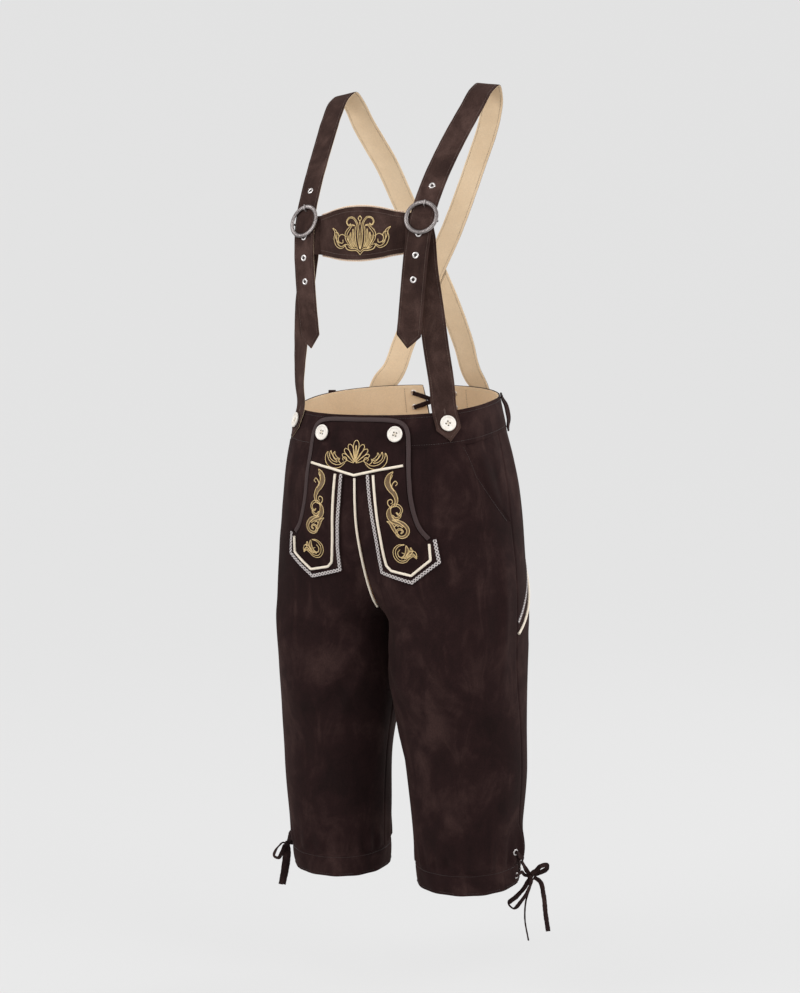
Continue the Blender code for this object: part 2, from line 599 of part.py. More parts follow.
def cuff(name, side):
    """The turned band at the hem, open at the slit."""
    drop = np.array([OUTSEAM - CUFF_HEIGHT + SEAM_GAP / 2, OUTSEAM])[:, None]
    start = side_angle(drop, 1)
    end = side_angle(drop, -1) + 2 * math.pi
    angle = start + (end - start) * np.linspace(0, 1, CUFF_COLUMNS)
    outer = raised(girth_point, angle, drop, CUFF_LIFT)
    inner = raised(girth_point, angle, drop, CUFF_LIFT - CUFF_THICKNESS)
    return wall(name, mirrored(outer, side), mirrored(inner, side), "suede")


def belt_loop(name, side):
    """A loop stitched above and below the waistband that stands off it between."""
    rows = np.array(BELT_LOOP)
    angle = math.radians(BELT_LOOP_ANGLE)
    centre = raised(girth_point, angle, rows[:, 0], rows[:, 1] + BELT_LOOP_THICKNESS / 2)
    face = unit(centre - raised(girth_point, angle, rows[:, 0], -0.01))
    table = np.concatenate([centre, face], 1)
    return ribbon(name, table, 11, BELT_LOOP_WIDTH, BELT_LOOP_THICKNESS, "suede", side=side)


# ---- Fall front ----
def flap_lift(x, drop):
    """Height of the flap's underside above the trousers: its top corners stand off."""
    corner = np.clip(1 - drop / WAISTBAND_HEIGHT, 0, 1) ** 1.5
    bow = FLAP_BOW * np.sin(math.pi * np.clip(drop / FLAP_LENGTH, 0, 1))
    return FLAP_LIFT + bow + FLAP_FLARE * np.clip(x / FLAP_EDGE[5][0], 0, 1) ** 4 * corner


def flap_top(x, drop):
    """Height at which trim lies on the flap."""
    return flap_lift(x, drop) + FLAP_THICKNESS + LAYER_GAP


def as_path(points):
    """Points on the front, as X and drop."""
    tilt = ring(np.clip(-points[:, 2], 0, OUTSEAM))["tilt"]
    return np.stack([points[:, 0], tilt * points[:, 1] - points[:, 2]], 1)


def edge_inset(inset):
    """The flap's outer edge moved in by this much, as X and drop."""
    edge = spline(np.array(FLAP_EDGE), 30)
    on_edge = front_point(edge[:, 0], edge[:, 1])
    normal = unit(raised(front_point, edge[:, 0], edge[:, 1], NORMAL_STEP) - on_edge)
    inward = unit(np.cross(np.gradient(on_edge, axis=0), normal))
    toward_middle = -0.6 * inward[:, 0] - inward[:, 2]
    return as_path(on_edge + inward * np.sign(toward_middle)[:, None] * inset)


def flap_columns(knots):
    """X of the flap's columns: every knot of its outline, and more where they lie far apart."""
    found = [knots[0]]
    for x in np.unique(np.concatenate([knots, np.arange(TRIM_SPACING, knots[-1], TRIM_SPACING)])):
        if x - found[-1] > COLUMN_LEAST[0] or (x in knots and x - found[-1] > COLUMN_LEAST[1]):
            found.append(x)
    return np.array(found)


def front_flap():
    """The bib with its two pointed legs, inside its binding."""
    top = edge_inset(BINDING_WIDTH + BINDING_GAP)
    top[0, 0] = 0.0
    top = np.concatenate([top[top[:, 0] < FLAP_SHOULDER[0][0] - SHOULDER_MARGIN], FLAP_SHOULDER])
    bottom = np.array(FLAP_LEG)
    x = flap_columns(np.concatenate([top[::2, 0], bottom[:-1, 0], top[-5:, 0]]).round(5))
    upper = np.interp(x, top[:, 0], top[:, 1])
    lower = np.interp(x, bottom[:, 0], bottom[:, 1])
    share = np.linspace(0, 1, 8)[:, None]
    drop = upper + (lower - upper) * share
    x = np.broadcast_to(x, drop.shape)
    low = raised(front_point, x, drop, flap_lift(x, drop))
    high = raised(front_point, x, drop, flap_lift(x, drop) + FLAP_THICKNESS)

    def whole(grid):
        return np.concatenate([mirrored(grid[:, :0:-1], -1), grid], 1)

    return wall("front_flap", whole(high), whole(low), "suede")


def flap_binding():
    """The smooth strip round the flap's top and sides."""
    path = edge_inset(BINDING_WIDTH / 2)
    path[0, 0] = 0.0
    low = flap_lift(path[:, 0], path[:, 1])
    outer = strip_points(front_point, path, low, BINDING_WIDTH)
    normal = unit(raised(front_point, path[:, 0], path[:, 1], low + NORMAL_STEP)
                  - raised(front_point, path[:, 0], path[:, 1], low))
    high = outer + normal[:, None] * BINDING_THICKNESS
    both = [np.concatenate([mirrored(edge[:0:-1], -1), edge]) for edge in (high, outer)]
    return wall("flap_binding", both[0], both[1], "binding_leather")


def strip_points(surface, path, height, width):
    """The two edges of a strip along a path on a surface."""
    low = raised(surface, path[:, 0], path[:, 1], height)
    normal = unit(raised(surface, path[:, 0], path[:, 1], height + NORMAL_STEP) - low)
    across = unit(np.cross(normal, np.gradient(low, axis=0)))
    return low[:, None] + np.array([-width / 2, width / 2])[:, None] * across[:, None]


def piping_on_front(name, path, side):
    """Round piping on the flap along a path of X and drop."""
    path = subdivided(path, TRIM_SPACING)
    height = flap_top(path[:, 0], path[:, 1]) + PIPING_RADIUS
    points = raised(front_point, path[:, 0], path[:, 1], height)
    return tube(name, mirrored(points, side), PIPING_RADIUS, "piping", sides=1)


def flap_piping():
    """The V of piping across the flap."""
    half = subdivided(PIPING_V, YOKE_SPACING)
    height = flap_top(half[:, 0], half[:, 1]) + PIPING_RADIUS
    points = raised(front_point, half[:, 0], half[:, 1], height)
    points = np.concatenate([mirrored(points[:0:-1], -1), points])
    return tube("flap_piping", points, PIPING_RADIUS, "piping", sides=1)


def centre_piping():
    """Piping along the front's middle seam, held in the groove between the two halves."""
    drop = np.array(PIPING_CENTRE_DROPS)
    here = front_point(SEAM_GAP / 2 + 0 * drop, drop)
    normal = unit(raised(front_point, SEAM_GAP / 2 + 0 * drop, drop, NORMAL_STEP) - here)
    out = (PIPING_RADIUS + LAYER_GAP) / np.maximum(-normal[:, 1], 0.3)
    line = here - np.stack([here[:, 0], out, 0 * out], 1)
    return tube("centre_piping", spline(line, 16), PIPING_RADIUS, "piping", sides=1)


def braid_on_front(name, side):
    """Braid along the edge of a flap leg."""
    path = subdivided(BRAID_TAB, BRAID_SPACING)
    edges = strip_points(front_point, path, flap_top(path[:, 0], path[:, 1]), BRAID_WIDTH)
    top = strip_points(front_point, path, flap_top(path[:, 0], path[:, 1]) + BRAID_THICKNESS, BRAID_WIDTH)
    return wall(name, mirrored(top, side), mirrored(edges, side), "braid")


# ---- Seat trim ----
def seat_path(rows):
    """The seat arc as girth angle in radians and drop, evenly spaced."""
    rows = np.array(rows)
    fine = spline(np.stack([rows[:, 0] * SEAT_METRES_PER_DEGREE, rows[:, 1]], 1), 18)
    return np.stack([-np.radians(fine[:, 0] / SEAT_METRES_PER_DEGREE), fine[:, 1]], 1)


def seat_trim(side, word):
    """A braid and a piping along the seat arc of one side."""
    path = seat_path(SEAT_BRAID)
    low = strip_points(girth_point, path, LAYER_GAP * 2, BRAID_WIDTH)
    high = strip_points(girth_point, path, LAYER_GAP * 2 + BRAID_THICKNESS, BRAID_WIDTH)
    wall("seat_braid_" + word, mirrored(high, side), mirrored(low, side), "braid")
    path = seat_path(SEAT_PIPING)
    points = raised(girth_point, path[:, 0], path[:, 1], PIPING_RADIUS + LAYER_GAP * 2)
    tube("seat_piping_" + word, mirrored(points, side), PIPING_RADIUS, "piping", sides=1)


# ---- Braces ----
def on_waist(angles_and_drops, height):
    """Rows of position and facing on the waistband's outside."""
    rows = []
    for angle, drop in angles_and_drops:
        place = raised(girth_point, angle, np.float64(drop), height)
        face = unit(place - raised(girth_point, angle, np.float64(drop), height - NORMAL_STEP))
        rows.append(np.concatenate([place, face]))
    return np.array(rows)


def strap_rows(side):
    """The strap's rows on its own side, with the crossing straps parted front to back."""
    rows = np.array(STRAP)
    behind = rows[:, 1] > 0
    near_crossing = np.exp(-(((rows[:, 2] - STRAP_CROSSING_HEIGHT) / STRAP_CROSSING_REACH) ** 2))
    rows[:, 1] += behind * near_crossing * STRAP_CROSSING_SHIFT * (-side)
    ends = []
    for x, drop in STRAP_WAIST_POINTS:
        at = ring(np.float64(drop))
        angle = -np.arccos((-x / at["half_width"]) ** (at["back_square"] / 2))
        row = on_waist([(angle, drop)], STRAP_THICKNESS / 2 + STRAP_WAIST_LIFT)[0]
        row[[0, 3]] *= -1
        ends.append(row)
    return np.concatenate([rows, ends])


def nearest_run(centre, place):
    """The distance along a band to its point nearest a place, to about half a millimetre."""
    run = run_of(centre)
    fine = np.linspace(0, run[-1], 2000)
    line = np.stack([np.interp(fine, run, centre[:, i]) for i in range(3)], 1)
    return fine[np.linalg.norm(line - np.asarray(place), axis=1).argmin()]


def at_run(centre, face, distance):
    """Position, facing and upward direction at a distance along a band."""
    run = run_of(centre)
    place = np.array([np.interp(distance, run, centre[:, i]) for i in range(3)])
    ahead = np.array([np.interp(distance + LOOK_AHEAD, run, centre[:, i]) for i in range(3)])
    facing = unit(np.array([np.interp(distance, run, face[:, i]) for i in range(3)]))
    up = unit(ahead - place)
    facing = unit(facing - facing.dot(up) * up)
    return place, facing, up


def cylinder(name, place, direction, radius, length, segments=10):
    """A plain cylinder among the cutters, to be cut from or joined to a piece."""
    mesh = bpy.data.meshes.new(name)
    made = bmesh.new()
    bmesh.ops.create_cone(
        made, cap_ends=True, segments=segments, radius1=radius, radius2=radius, depth=length
    )
    made.to_mesh(mesh)
    made.free()
    thing = bpy.data.objects.new(name, mesh)
    cutters.objects.link(thing)
    thing.location = place
    thing.rotation_mode = "QUATERNION"
    thing.rotation_quaternion = Vector(direction).to_track_quat("Z", "Y")
    thing.hide_render = True
    thing.display_type = "WIRE"
    return thing


def combine(thing, other, operation):
    step = thing.modifiers.new(other.name, "BOOLEAN")
    step.operation = operation
    step.solver = "EXACT"
    step.object = other


def strap(side, word):
    """One long strap with its eyelet holes, and the buckle, prong and lower strap at its buckle."""
    rows = strap_rows(side)
    length = run_of(spline(rows, 400))[-1]
    first, last, count = STRAP_SPAN
    places = np.concatenate([[0, STRAP_POINT], np.linspace(first, length - last, count),
                             [length - STRAP_POINT, length]])
    thing, centre, face = ribbon("strap_" + word, rows, places, STRAP_WIDTH, STRAP_THICKNESS,
                                 "strap_leather", True, True, side)
    buckle_run = nearest_run(centre, mirrored(STRAP[4][:3], side))
    for i, offset in enumerate(EYELET_PLACES):
        place, facing, up = at_run(centre, face, buckle_run + offset)
        cutter = cylinder("eyelet_%s_%d" % (word, i), place, facing, EYELET_HOLE_RADIUS, CUTTER_LENGTH)
        combine(thing, cutter, "DIFFERENCE")
    place, facing, up = at_run(centre, face, buckle_run)
    buckle(side, word, place, facing, up)
    lower_strap(side, word, place, facing, up)
    back_button(side, word, centre, face, length)


def buckle(side, word, place, facing, up):
    """The ring in front of the strap, its bar behind the strap and the prong between them."""
    across = np.cross(up, facing)
    ring_lift = STRAP_THICKNESS / 2 + LAYER_GAP + BUCKLE_DEPTH / 2
    turn = np.linspace(0, 2 * math.pi, 9)[:-1]
    profile = [(BUCKLE_RADIUS + BUCKLE_BAND / 2 * math.cos(t), -BUCKLE_DEPTH / 2 * math.sin(t)) for t in turn]
    frame = turned_ring("buckle_" + word, profile, place + facing * ring_lift, facing, "antique_silver")
    behind = place - facing * BAR_SETBACK
    bar = cylinder("bar_" + word, behind, across, BAR_RADIUS, 2 * BUCKLE_RADIUS, 8)
    combine(frame, bar, "UNION")
    for end in (-1, 1):
        post = place + across * end * (BUCKLE_RADIUS - BAR_RADIUS / 2)
        post = post + facing * (ring_lift - BAR_SETBACK) / 2
        arm = cylinder("arm_%s_%d" % (word, end), post, facing, BAR_RADIUS, ring_lift + BAR_SETBACK, 8)
        combine(frame, arm, "UNION")
    hole = EYELET_PLACES[1]
    local = (
        (BAR_RADIUS + LOWER_STRAP_THICKNESS + 3 * LAYER_GAP + PRONG_RADIUS, -BAR_SETBACK),
        *[(hole + rise, out) for rise, out in PRONG_BENDS],
        (BUCKLE_RADIUS - BUCKLE_BAND / 2, ring_lift + BUCKLE_DEPTH / 2 + PRONG_RADIUS + PRONG_CLEARANCE),
        (BUCKLE_RADIUS + BUCKLE_BAND / 2 - PRONG_CLEARANCE,
         ring_lift + BUCKLE_DEPTH / 2 + PRONG_RADIUS + LAYER_GAP),
    )
    points = [place + up * rise + facing * out for rise, out in local]
    tube("prong_" + word, spline(points, 12), PRONG_RADIUS, "antique_silver", sides=1)


def turned_ring(name, profile, place, face, finish_name, segments=20):
    """A ring of closed section, turned about the direction that it faces."""
    mesh = bpy.data.meshes.new(name)
    edges = [(i, (i + 1) % len(profile)) for i in range(len(profile))]
    mesh.from_pydata([(radius, 0, height) for radius, height in profile], edges, [])
    thing = bpy.data.objects.new(name, mesh)
    screw = thing.modifiers.new("turn", "SCREW")
    screw.steps = screw.render_steps = segments
    screw.use_merge_vertices = True
    screw.merge_threshold = MERGE_DISTANCE
    thing.location = place
    thing.rotation_mode = "QUATERNION"
    thing.rotation_quaternion = Vector(face).to_track_quat("Z", "Y")
    return finish(thing, finish_name)


def lower_strap(side, word, place, facing, up):
    """The strap from the buckle's bar, which it folds over, to its button on the waistband."""
    bar = mirrored(place - facing * BAR_SETBACK, side)
    facing = mirrored(facing, side)
    up = mirrored(up, side)
    bend = BAR_RADIUS + LAYER_GAP + LOWER_STRAP_THICKNESS / 2
    rows = [np.concatenate([bar - facing * bend - up * LOWER_STRAP_TAIL, -facing])]
    for turn in np.radians([180, 135, 90, 45, 0]):
        out = facing * math.cos(turn) + up * math.sin(turn)
        rows.append(np.concatenate([bar + out * bend, out]))
    rows.append(np.concatenate([bar + facing * bend - up * LOWER_STRAP_FRONT, facing]))
    rows = np.concatenate([rows, LOWER_STRAP,
                           on_waist([(math.radians(a), d) for a, d in LOWER_STRAP_ANGLES],
                                    LOWER_STRAP_THICKNESS / 2 + LOWER_STRAP_WAIST_LIFT)])
    length = run_of(spline(rows, 600))[-1]
    first, last, count = LOWER_STRAP_SPAN
    places = np.concatenate([np.linspace(0, *LOWER_STRAP_FOLD), np.linspace(first, length - last, count),
                             [length - STRAP_POINT, length]])
    thing, centre, face = ribbon("lower_strap_" + word, rows, places, STRAP_WIDTH, LOWER_STRAP_THICKNESS,
                                 "strap_leather", False, True, side)
    place, facing, _ = at_run(centre, face, length - BUTTON_INSET)
    button("front_strap_button_" + word, place + facing * (LOWER_STRAP_THICKNESS / 2 + LAYER_GAP), facing)


def back_button(side, word, centre, face, length):
    place, facing, _ = at_run(centre, face, length - BUTTON_INSET)
    button("back_strap_button_" + word, place + facing * (STRAP_THICKNESS / 2 + BACK_BUTTON_LIFT), facing)


def button(name, place, face):
    """A four-hole button with a raised rim; its small holes are left to the finish."""
    rim = BUTTON_RADIUS
    top = BUTTON_THICKNESS
    profile = (
        (0, top - BUTTON_DISH),
        (rim - BUTTON_RIM[0], top - BUTTON_DISH),
        (rim - BUTTON_RIM[1], top),
        (rim - BUTTON_RIM[2], top),
        (rim, top - BUTTON_DISH),
        (rim - BUTTON_DISH, 0.0),
        (0, 0.0),
    )
    turned(name, profile, place, face, "button")


def chest():
    """The panel between the straps, and its pinked backing."""
    fine = spline(np.array(CHEST), 9)
    rows = np.concatenate([fine, CHEST_TAB])
    share = np.linspace(0, 1, 4)[:, None]

    def grid(table, forward, margin):
        top = table[:, 1] + margin
        bottom = table[:, 2] - margin
        z = top + (bottom - top) * share
        x = np.broadcast_to(table[:, 0], z.shape)
        half = np.stack([x, np.broadcast_to(table[:, 3] - forward, z.shape), z], -1)
        return np.concatenate([mirrored(half[:, :0:-1], -1), half], 1)

    half = CHEST_THICKNESS / 2
    wall("chest_panel", grid(rows, half, 0), grid(rows, -half, 0), "strap_leather")
    lining = fine.copy()
    lining[:, 0] *= TRIM_REACH / lining[-1, 0]
    front = -half - LAYER_GAP
    wall("chest_lining", grid(lining, front, CHEST_TRIM), grid(lining, front - TRIM_THICKNESS, CHEST_TRIM),
         "lining")


# ---- Laces ----
def cuff_laces(side, word):
    """The knot beside the slit, with the two lacings that lead to it, its two loops and its two tails."""
    routes = CUFF_ROUTES[word]
    knot = np.array(routes["knot"])

    def leaving(direction):
        """Two points straight out of the knot, nearest first."""
        out = unit(np.array(direction))
        return [knot + out * (KNOT_RADIUS + 2 * LAYER_GAP), knot + out * KNOT_RADIUS * 1.5]

    for name, direction in routes["lacing"].items():
        rows = np.array(CUFF_LACING[name])
        angle = np.radians(rows[:, 0] - ring(rows[:, 1])["seam"])
        on_cloth = raised(girth_point, angle, rows[:, 1], rows[:, 2])
        points = np.concatenate([on_cloth, leaving(direction)[::-1]])
        tube(name + "_" + word, mirrored(spline(points, 11), side), LACE_RADIUS, "lace", sides=2)
    ball("cuff_knot_" + word, mirrored(knot, side), KNOT_RADIUS, "lace")
    for name, route in routes["loops"].items():
        points = [*leaving(route[0]), *np.array(route[1:-1]), *leaving(route[-1])[::-1]]
        tube(name + "_" + word, mirrored(spline(points, 13), side), LACE_RADIUS, "lace", sides=2)
    for name, route in routes["tails"].items():
        points = [*leaving(route[0]), *np.array(route[1:])]
        tube(name + "_" + word, mirrored(spline(points, 9), side), LACE_RADIUS, "lace", sides=2)


def waist_laces():
    """Two laces that cross inside the back slit, from eyelet to eyelet."""
    inside = -(CLOTH + SEAM_GAP + FACING_THICKNESS + LAYER_GAP + LACE_RADIUS)
    high, low = WAIST_EYELET_DROPS
    for name, drops, extra in (
        ("waist_lace_one", (high, low), 0.0),
        ("waist_lace_two", (low, high), LACE_CROSSING),
    ):
        share = np.linspace(-1, 1, 11)
        drop = drops[0] + (drops[1] - drops[0]) * (share + 1) / 2
        x = share * WAIST_EYELET_X
        at = ring(drop)
        angle = -np.arccos(np.sign(x) * (np.abs(x) / at["half_width"]) ** (at["back_square"] / 2))
        depth = inside - extra * np.exp(-((share / 0.35) ** 2))
        tube(name, raised(girth_point, angle, drop, depth), LACE_RADIUS, "lace", sides=2)


def main():
    for side, word in ((1, "left"), (-1, "right")):
        panel("front_panel_" + word, side, 1)
        panel("back_panel_" + word, side, -1)
        pocket_facing("pocket_facing_" + word, side)
        cuff("cuff_" + word, side)
        belt_loop("belt_loop_" + word, side)
        piping_on_front("tab_piping_" + word, PIPING_TAB, side)
        braid_on_front("tab_braid_" + word, side)
        seat_trim(side, word)
        strap(side, word)
        cuff_laces(side, word)
        height = flap_top(FLAP_BUTTON[0], FLAP_BUTTON[1]) + LAYER_GAP
        place = raised(front_point, FLAP_BUTTON[0], np.float64(FLAP_BUTTON[1]), height)
        face = unit(place - front_point(FLAP_BUTTON[0], np.float64(FLAP_BUTTON[1])))
        button("flap_button_" + word, mirrored(place, side), mirrored(face, side))
    drops = (0.0, WAISTBAND_HEIGHT / 2, WAISTBAND_HEIGHT - SEAM_GAP / 2)
    wall("waistband", waist_grid(drops, 0.0), waist_grid(drops, -CLOTH), "suede")
    inside = -CLOTH - SEAM_GAP
    wall("waist_facing", waist_grid(drops, inside), waist_grid(drops, inside - FACING_THICKNESS), "lining")
    front_flap()
    flap_binding()
    flap_piping()
    centre_piping()
    chest()
    waist_laces()


main()
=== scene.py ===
# Lederhosen, dressed: every cloth, trim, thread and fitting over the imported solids.
# +X is the wearer's left, -Y the front, +Z up, and the origin is the middle of the waist opening.
import math

import bpy
import numpy as np
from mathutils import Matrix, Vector


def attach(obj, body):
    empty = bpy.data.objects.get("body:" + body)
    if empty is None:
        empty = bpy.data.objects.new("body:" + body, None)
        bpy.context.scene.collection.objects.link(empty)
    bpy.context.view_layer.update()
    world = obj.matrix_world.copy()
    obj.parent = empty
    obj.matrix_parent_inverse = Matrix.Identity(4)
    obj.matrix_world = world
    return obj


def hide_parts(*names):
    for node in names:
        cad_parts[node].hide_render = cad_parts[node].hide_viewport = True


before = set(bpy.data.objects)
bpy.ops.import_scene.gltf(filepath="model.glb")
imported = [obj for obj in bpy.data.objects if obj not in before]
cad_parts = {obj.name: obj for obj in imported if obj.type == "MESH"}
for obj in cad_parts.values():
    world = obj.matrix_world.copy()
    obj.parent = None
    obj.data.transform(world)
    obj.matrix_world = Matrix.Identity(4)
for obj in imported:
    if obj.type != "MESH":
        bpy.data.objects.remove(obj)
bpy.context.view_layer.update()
bothSides = ((1, "Left"), (-1, "Right"))
flips = {1: np.array([1.0, 1.0, 1.0]), -1: np.array([-1.0, 1.0, 1.0])}
print("solids loaded")

# camera, light and floor
cameraSet = {
    "place": (1.46263, -2.60637, 0.09190),
    "target": (0.0, 0.0, -0.168),
    "lens": 69.1,
    "sensor": 36,
    "shiftY": 0.0096,
}


def placed(name, data):
    # an object linked to the scene
    thing = bpy.data.objects.new(name, data)
    bpy.context.scene.collection.objects.link(thing)
    return thing


def aim(thing, place, target):
    thing.location = place
    thing.rotation_euler = (Vector(target) - Vector(place)).to_track_quat("-Z", "Y").to_euler()


def turnsOf(count):
    return np.linspace(0, 2 * math.pi, count + 1)[:-1]


def closed(grid):
    # the grid with its first column again after its last
    return np.concatenate([grid, grid[:, :1]], 1)


def cellsOf(index):
    # the four corners of each cell between neighbouring rows and columns
    return np.stack([index[:-1, :-1], index[1:, :-1], index[1:, 1:], index[:-1, 1:]], -1).reshape(-1, 4)


def makeCamera(s):
    # a long lens aimed at the target; the small shift frames the object
    data = bpy.data.cameras.new("camera")
    data.lens = s["lens"]
    data.sensor_width = s["sensor"]
    data.sensor_fit = "AUTO"
    data.shift_y = s["shiftY"]
    camera = placed("camera", data)
    aim(camera, s["place"], s["target"])
    bpy.context.scene.camera = camera


studioSet = {
    "floorHeight": -0.95,
    "floorRadius": 3.2,
    "innerRadii": (0.01, 1.0, 2.0),
    "wallRadius": 6.0,
    "wallHeight": 7.0,
    "paper": (0.12, 0.12, 0.12),
    "paperGlow": 0.672,
    "sky": 0.62,
    "lampTarget": (0, 0, -0.2),
    "lamps": (
        # name, place, size, watts
        ("key", (-1.9, -2.6, 2.0), 1.8, 60.0),
        ("fill", (3.2, -0.6, 1.6), 2.2, 58.0),
        ("rim", (1.2, 2.6, 1.9), 1.8, 34.0),
        ("lift", (0.4, -2.4, -0.4), 1.6, 6.0),
    ),
}


def makeStudio(s):
    # a pale floor that curves up into a round wall, lit by an even sky and four soft lamps
    turn, bend = turnsOf(96), np.linspace(0, math.pi / 2, 13)
    reach = s["wallRadius"] - s["floorRadius"]
    rise = reach * (1 - np.cos(bend))
    radius = np.concatenate([s["innerRadii"], s["floorRadius"] + reach * np.sin(bend), [s["wallRadius"]]])
    height = np.concatenate([np.zeros(len(s["innerRadii"])), rise, [s["wallHeight"]]]) + s["floorHeight"]
    ring = np.stack([np.cos(turn), np.sin(turn)], 1)
    points = np.concatenate([radius[:, None, None] * ring, np.tile(height[:, None, None], (1, 96, 1))], 2)
    index = closed(np.arange(points.size // 3).reshape(points.shape[:2]))
    mesh = bpy.data.meshes.new("studio")
    mesh.from_pydata(points.reshape(-1, 3).tolist(), [], cellsOf(index).tolist() + [index[0, :-1].tolist()])
    mesh.shade_smooth()
    studio = placed("studio", mesh)
    paper = bpy.data.materials.new("studioPaper")
    paper.use_nodes = True
    # the paper glows a little, so that it stays the same pale grey from floor to wall
    for name, value in (("Base Color", (*s["paper"], 1)), ("Roughness", 0.9), ("Specular IOR Level", 0.1),
                        ("Emission Color", (1, 1, 1, 1)), ("Emission Strength", s["paperGlow"])):
        paper.node_tree.nodes["Principled BSDF"].inputs[name].default_value = value
    mesh.materials.append(paper)
    studio.visible_diffuse = False
    studio.visible_glossy = False
    studio.visible_shadow = False
    world = bpy.data.worlds.new("sky")
    bpy.context.scene.world = world
    world.use_nodes = True
    sky = world.node_tree.nodes["Background"]
    sky.inputs[0].default_value = (1, 1, 1, 1)
    sky.inputs[1].default_value = s["sky"]
    for name, place, size, watts in s["lamps"]:
        lamp = bpy.data.lights.new(name, "AREA")
        lamp.shape = "DISK"
        lamp.size = size
        lamp.energy = watts
        aim(placed(name, lamp), place, s["lampTarget"])
    bpy.context.scene.view_settings.view_transform = "Standard"
    bpy.context.scene.view_settings.look = "None"


makeCamera(cameraSet)
makeStudio(studioSet)
print("camera, light and floor made")

# the trousers' surface, from the same girth table as the solids
girthTable = {
    "drop": (0.000, 0.050, 0.100, 0.150, 0.200, 0.250, 0.285, 0.310, 0.337, 0.420, 0.500, 0.575, 0.670,
             0.756),
    "tilt": (0.171, 0.165, 0.150, 0.135, 0.115, 0.100, 0.090, 0.085, 0.080, 0.072, 0.066, 0.063, 0.063,
             0.063),
    "outer": (0.1625, 0.1720, 0.1825, 0.1910, 0.1965, 0.2005, 0.2020, 0.2030, 0.2040, 0.2050, 0.2060, 0.2063,
              0.1997, 0.1930),
    "inner": (-0.1625, -0.1720, -0.1825, -0.1500, -0.1030, -0.0640, -0.0370, -0.0185, 0.0010, 0.0060, 0.0170,
              0.0275, 0.0337, 0.0370),
    "centreY": (0, 0, 0, 0, 0, 0.002, 0.003, 0.004, 0.004, 0.003, 0.003, 0.0046, 0.0086, 0.0156),
    "front": (0.1245, 0.1320, 0.1385, 0.1370, 0.1300, 0.1225, 0.1185, 0.1180, 0.1175, 0.1130, 0.1000, 0.0900,
              0.0830, 0.0780),
    "back": (0.1150, 0.1240, 0.1340, 0.1400, 0.1430, 0.1400, 0.1350, 0.1300, 0.1255, 0.1160, 0.1020, 0.0910,
             0.0840, 0.0780),
    "frontSquare": (2.35, 2.60, 2.60, 2.40, 2.25, 2.25, 2.30, 2.30, 2.30, 2.20, 2.10, 2.10, 2.10, 2.10),
    "backSquare": (2.15, 2.20, 2.25, 2.25, 2.25, 2.20, 2.20, 2.20, 2.20, 2.15, 2.10, 2.10, 2.10, 2.10),
    "lean": (0, 0, 0, 0, 0, 0, 0, 0, 0, 0.02, 0.06, 0.085, 0.05, 0.035),
    "seam": (0, 0, 0, 0, 0, 0, 0, 0, 0, 1, 4, 8, 12, 15),
}
bodySet = {
    "seamGap": 0.0003,
    "cloth": 0.0019,
    "waistband": 0.050,
    "outseam": 0.756,
    "cuff": 0.035,
    "slit": 0.058,
    "slitHalf": 0.0035,
    "legRadius": 0.080,
    "layer": 0.0004,
}


def smoothTable(knots, values, at):
    # monotone cubic through the knots, so a table's curve never overshoots
    knots, values, at = np.asarray(knots, float), np.asarray(values, float), np.asarray(at, float)
    steps = np.diff(knots)
    slopes = np.diff(values) / steps
    ends = np.zeros_like(values)
    ends[0], ends[-1] = slopes[0], slopes[-1]
    same = slopes[:-1] * slopes[1:] > 0
    before, after = 2 * steps[1:] + steps[:-1], steps[1:] + 2 * steps[:-1]
    left, right = np.where(same, slopes[:-1], 1), np.where(same, slopes[1:], 1)
    ends[1:-1] = np.where(same, (before + after) / (before / left + after / right), 0)
    cell = np.clip(np.searchsorted(knots, at) - 1, 0, len(steps) - 1)
    t = (at - knots[cell]) / steps[cell]
    rise = steps[cell] * (t * (1 - t) ** 2 * ends[cell] - t * t * (1 - t) * ends[cell + 1])
    return (1 + 2 * t) * (1 - t) ** 2 * values[cell] + t * t * (3 - 2 * t) * values[cell + 1] + rise


fineDrops = np.linspace(-0.03, 0.80, 1661)
fineTable = {name: smoothTable(girthTable["drop"], row, fineDrops) for name, row in girthTable.items()}
fineTable["centreX"] = (fineTable["outer"] + fineTable["inner"]) / 2
fineTable["half"] = (fineTable["outer"] - fineTable["inner"]) / 2


def girthAt(drop):
    # the section at each drop, read from the finely sampled table
    found = {name: np.interp(drop, fineDrops, row) for name, row in fineTable.items()}
    found["drop"] = np.asarray(drop, float)
    return found


def girthPoint(angle, drop):
    # superellipse section: angle 0 is the side, a quarter turn the front, minus a quarter the back
    at = girthAt(drop)
    across, forward = np.cos(angle), np.sin(angle)
    power = 2 / np.where(forward >= 0, at["frontSquare"], at["backSquare"])
    depth = np.where(forward >= 0, at["front"], at["back"])
    y = -depth * np.sign(forward) * np.abs(forward) ** power
    x = at["centreX"] + at["half"] * np.sign(across) * np.abs(across) ** power + at["lean"] * y
    y = y + at["centreY"]
    return np.stack(np.broadcast_arrays(x, y, -at["drop"] + at["tilt"] * y), -1)


def frontPoint(x, drop):
    # the trousers' front at this X on the left side; the right side mirrors it
    at = girthAt(drop)
    reach = np.clip(np.abs(np.abs(x) - at["centreX"]) / at["half"], 0, 1)
    y = at["centreY"] - at["front"] * (1 - reach ** at["frontSquare"]) ** (1 / at["frontSquare"])
    return np.stack(np.broadcast_arrays(x, y, -at["drop"] + at["tilt"] * y), -1)


def unit(v):
    return v / np.maximum(np.linalg.norm(v, axis=-1, keepdims=True), 1e-12)


